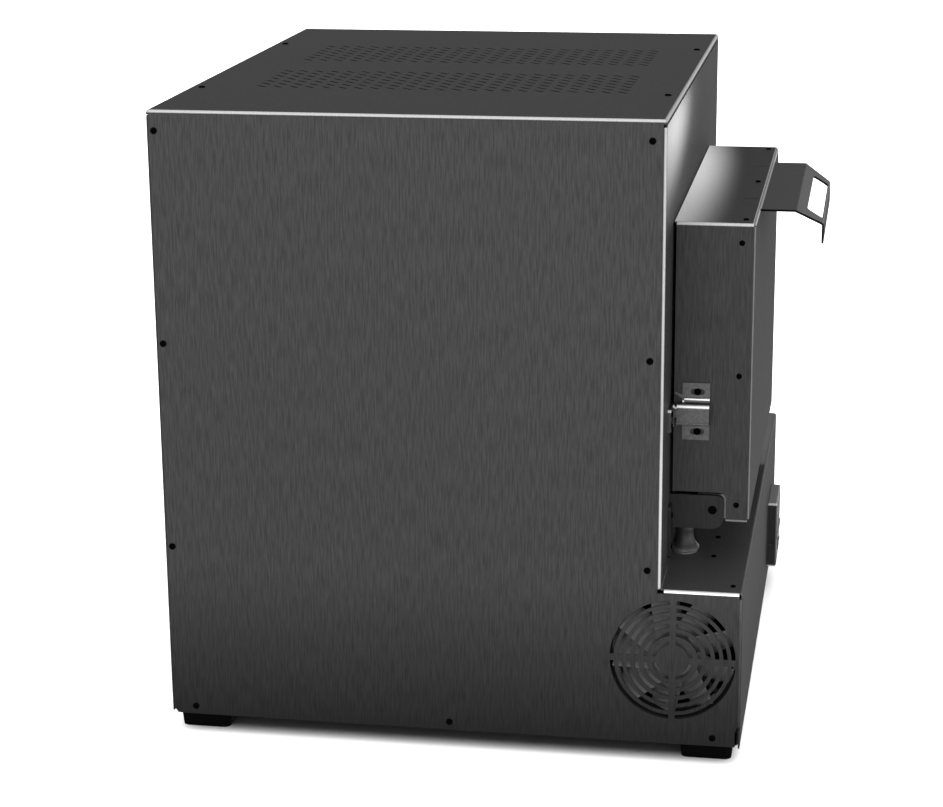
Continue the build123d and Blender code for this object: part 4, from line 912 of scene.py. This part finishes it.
studio = {
    "floorSize": 40.0,
    "floorTone": (0.16, 0.16, 0.16),
    "floorDark": (0.155, 0.155, 0.155),
    "floorGrain": 30,
    "floorRoughness": 0.9,
    "floorSun": 34.0,
    "sunSpread": 110,
    "wallRadius": 18.0,
    "wallGrid": (64, 32),
    "wallGlow": 1.05,
    "skyBase": 0.16,
}

# broad soft lights on the studio's walls and ceiling: where each is, its spread and its strength
skyGlows = {
    "behindPicture": dict(toward=(-0.93, 0.14, 0.35), start=0.62, end=0.92, strength=1.05),
    "ceiling": dict(toward=(-0.10, 0.05, 0.99), start=0.25, end=0.95, strength=1.5),
    "frontWall": dict(toward=(-0.25, -0.95, -0.1), start=0.55, end=0.98, strength=1.6),
    "farWall": dict(toward=(0.94, -0.33, 0.10), start=0.97, end=0.999, strength=3.0),
    "farFloor": dict(toward=(0.90, -0.25, -0.36), start=0.94, end=0.998, strength=0.45),
}

bpy.ops.object.select_all(action="DESELECT")
bpy.ops.mesh.primitive_plane_add(size=studio["floorSize"], location=(0, 0, cadLow.z))
floor = bpy.context.active_object
floor.name = "studioFloor"
floorMaterial, floorTree, floorShader = freshMaterial("paleFloor")
floorGrain = noise(floorTree, objectPoints(floorTree, (1, 1, 1)), studio["floorGrain"])
floorTone = tint(floorTree, floorGrain, studio["floorDark"], studio["floorTone"])
floorTree.links.new(floorTone, floorShader.inputs["Base Color"])
floorShader.inputs["Roughness"].default_value = studio["floorRoughness"]
floor.data.materials.append(floorMaterial)
floor.visible_glossy = False

# a white wall all round that only the camera sees, so that a low view has no dark horizon
bpy.ops.object.select_all(action="DESELECT")
wallSides, wallRings = studio["wallGrid"]
bpy.ops.mesh.primitive_uv_sphere_add(segments=wallSides, ring_count=wallRings, radius=studio["wallRadius"],
                                     location=(0, 0, 0))
wall = bpy.context.active_object
wall.name = "studioWall"
wallMaterial, _, wallShader = freshMaterial("whiteWall")
wallShader.inputs["Base Color"].default_value = (0, 0, 0, 1)
wallShader.inputs["Specular IOR Level"].default_value = 0
wallShader.inputs["Emission Color"].default_value = (1, 1, 1, 1)
wallShader.inputs["Emission Strength"].default_value = studio["wallGlow"]
wall.data.materials.append(wallMaterial)
for ray in ("diffuse", "glossy", "transmission", "volume_scatter", "shadow"):
    setattr(wall, "visible_" + ray, False)

sky = bpy.data.worlds.new("studioSky")
scene.world = sky
sky.use_nodes = True
skyTree = sky.node_tree
background = skyTree.nodes["Background"]
background.inputs["Color"].default_value = (1, 1, 1, 1)
toward = skyTree.nodes.new("ShaderNodeTexCoord").outputs["Generated"]
level = studio["skyBase"]
for name, look in skyGlows.items():
    node = skyTree.nodes.new("ShaderNodeVectorMath")
    node.operation = "DOT_PRODUCT"
    skyTree.links.new(toward, node.inputs[0])
    node.inputs[1].default_value = Vector(look["toward"]).normalized()
    glow = skyTree.nodes.new("ShaderNodeMapRange")
    glow.interpolation_type = "SMOOTHSTEP"
    glow.inputs["From Min"].default_value = look["start"]
    glow.inputs["From Max"].default_value = look["end"]
    glow.inputs["To Max"].default_value = look["strength"]
    skyTree.links.new(node.outputs["Value"], glow.inputs["Value"])
    level = combine(skyTree, "ADD", level, glow.outputs["Result"])
skyTree.links.new(level, background.inputs["Strength"])

beamSource = 0.02  # radius of the lamp that makes a beam

# narrow beams that graze the front above the door, the ledge that the door's top makes and the shelf below
# it; stretch widens a beam across and upright
beams = {
    "fasciaBeam": dict(place=(0.65, -0.335, 0.60), aim=(-0.27, -0.17, 0.560), cone=5.0, power=210,
                       stretch=(1, 1.3), only="front_fascia"),
    "fasciaHalo": dict(place=(0.65, -0.335, 0.60), aim=(-0.24, -0.17, 0.545), cone=8.5, power=18,
                       stretch=(1, 1.3), only="front_fascia"),
    "ledgeBeam": dict(place=(0.95, -0.185, 0.80), aim=(-0.08, -0.128, 0.494), cone=11.0, power=39,
                      stretch=(0.75, 1.7), only="door_casing"),
    "shelfBeam": dict(place=(-0.95, -0.225, 0.40), aim=(-0.16, -0.225, 0.172), cone=22, power=26,
                      stretch=(1, 1), only="front_fascia"),
    "shelfEndBeam": dict(place=(0.95, -0.235, 0.60), aim=(0.22, -0.235, 0.172), cone=16, power=3.4,
                         stretch=(1, 1), only="front_fascia"),
}


def addBeam(name, look):
    data = bpy.data.lights.new(name, "SPOT")
    data.energy = look["power"]
    data.spot_size = math.radians(look["cone"])
    data.spot_blend = 1
    data.shadow_soft_size = beamSource
    lamp = bpy.data.objects.new(name, data)
    scene.collection.objects.link(lamp)
    lamp.location = look["place"]
    lamp.rotation_euler = (Vector(look["aim"]) - lamp.location).to_track_quat("-Z", "Y").to_euler()
    lamp.scale = (*look["stretch"], 1)
    lamp.visible_camera = False
    lit = bpy.data.collections.new(name + "Lit")
    lit.objects.link(nodes[look["only"]])
    lamp.light_linking.receiver_collection = lit


for name, look in beams.items():
    addBeam(name, look)

# an even light on the floor alone, wide enough for soft shadows
floorSun = bpy.data.lights.new("floorSun", "SUN")
floorSun.energy = studio["floorSun"]
floorSun.angle = math.radians(studio["sunSpread"])
floorLamp = bpy.data.objects.new("floorSun", floorSun)
scene.collection.objects.link(floorLamp)
floorLit = bpy.data.collections.new("floorLit")
floorLit.objects.link(floor)
floorLamp.light_linking.receiver_collection = floorLit

# the place and direction that the picture was taken from
cameraView = {
    "place": (-2.316225, -0.354653, 0.921305),
    "right": (0.172430, -0.984987, -0.008259),
    "down": (-0.271506, -0.039466, -0.961627),
    "ahead": (0.946865, 0.168056, -0.274235),
    "lens": 90.404,
    "sensor": 36,
    "clip": (0.05, 60),
}

cameraData = bpy.data.cameras.new("pictureCamera")
camera = bpy.data.objects.new("pictureCamera", cameraData)
scene.collection.objects.link(camera)
right, down, ahead = (Vector(cameraView[side]) for side in ("right", "down", "ahead"))
turned = Matrix((right, -down, -ahead)).transposed().to_4x4()
camera.matrix_world = Matrix.Translation(cameraView["place"]) @ turned
cameraData.lens = cameraView["lens"]
cameraData.sensor_width = cameraView["sensor"]
cameraData.clip_start, cameraData.clip_end = cameraView["clip"]
scene.camera = camera
scene.view_settings.view_transform = "Standard"
print("studio and camera set")
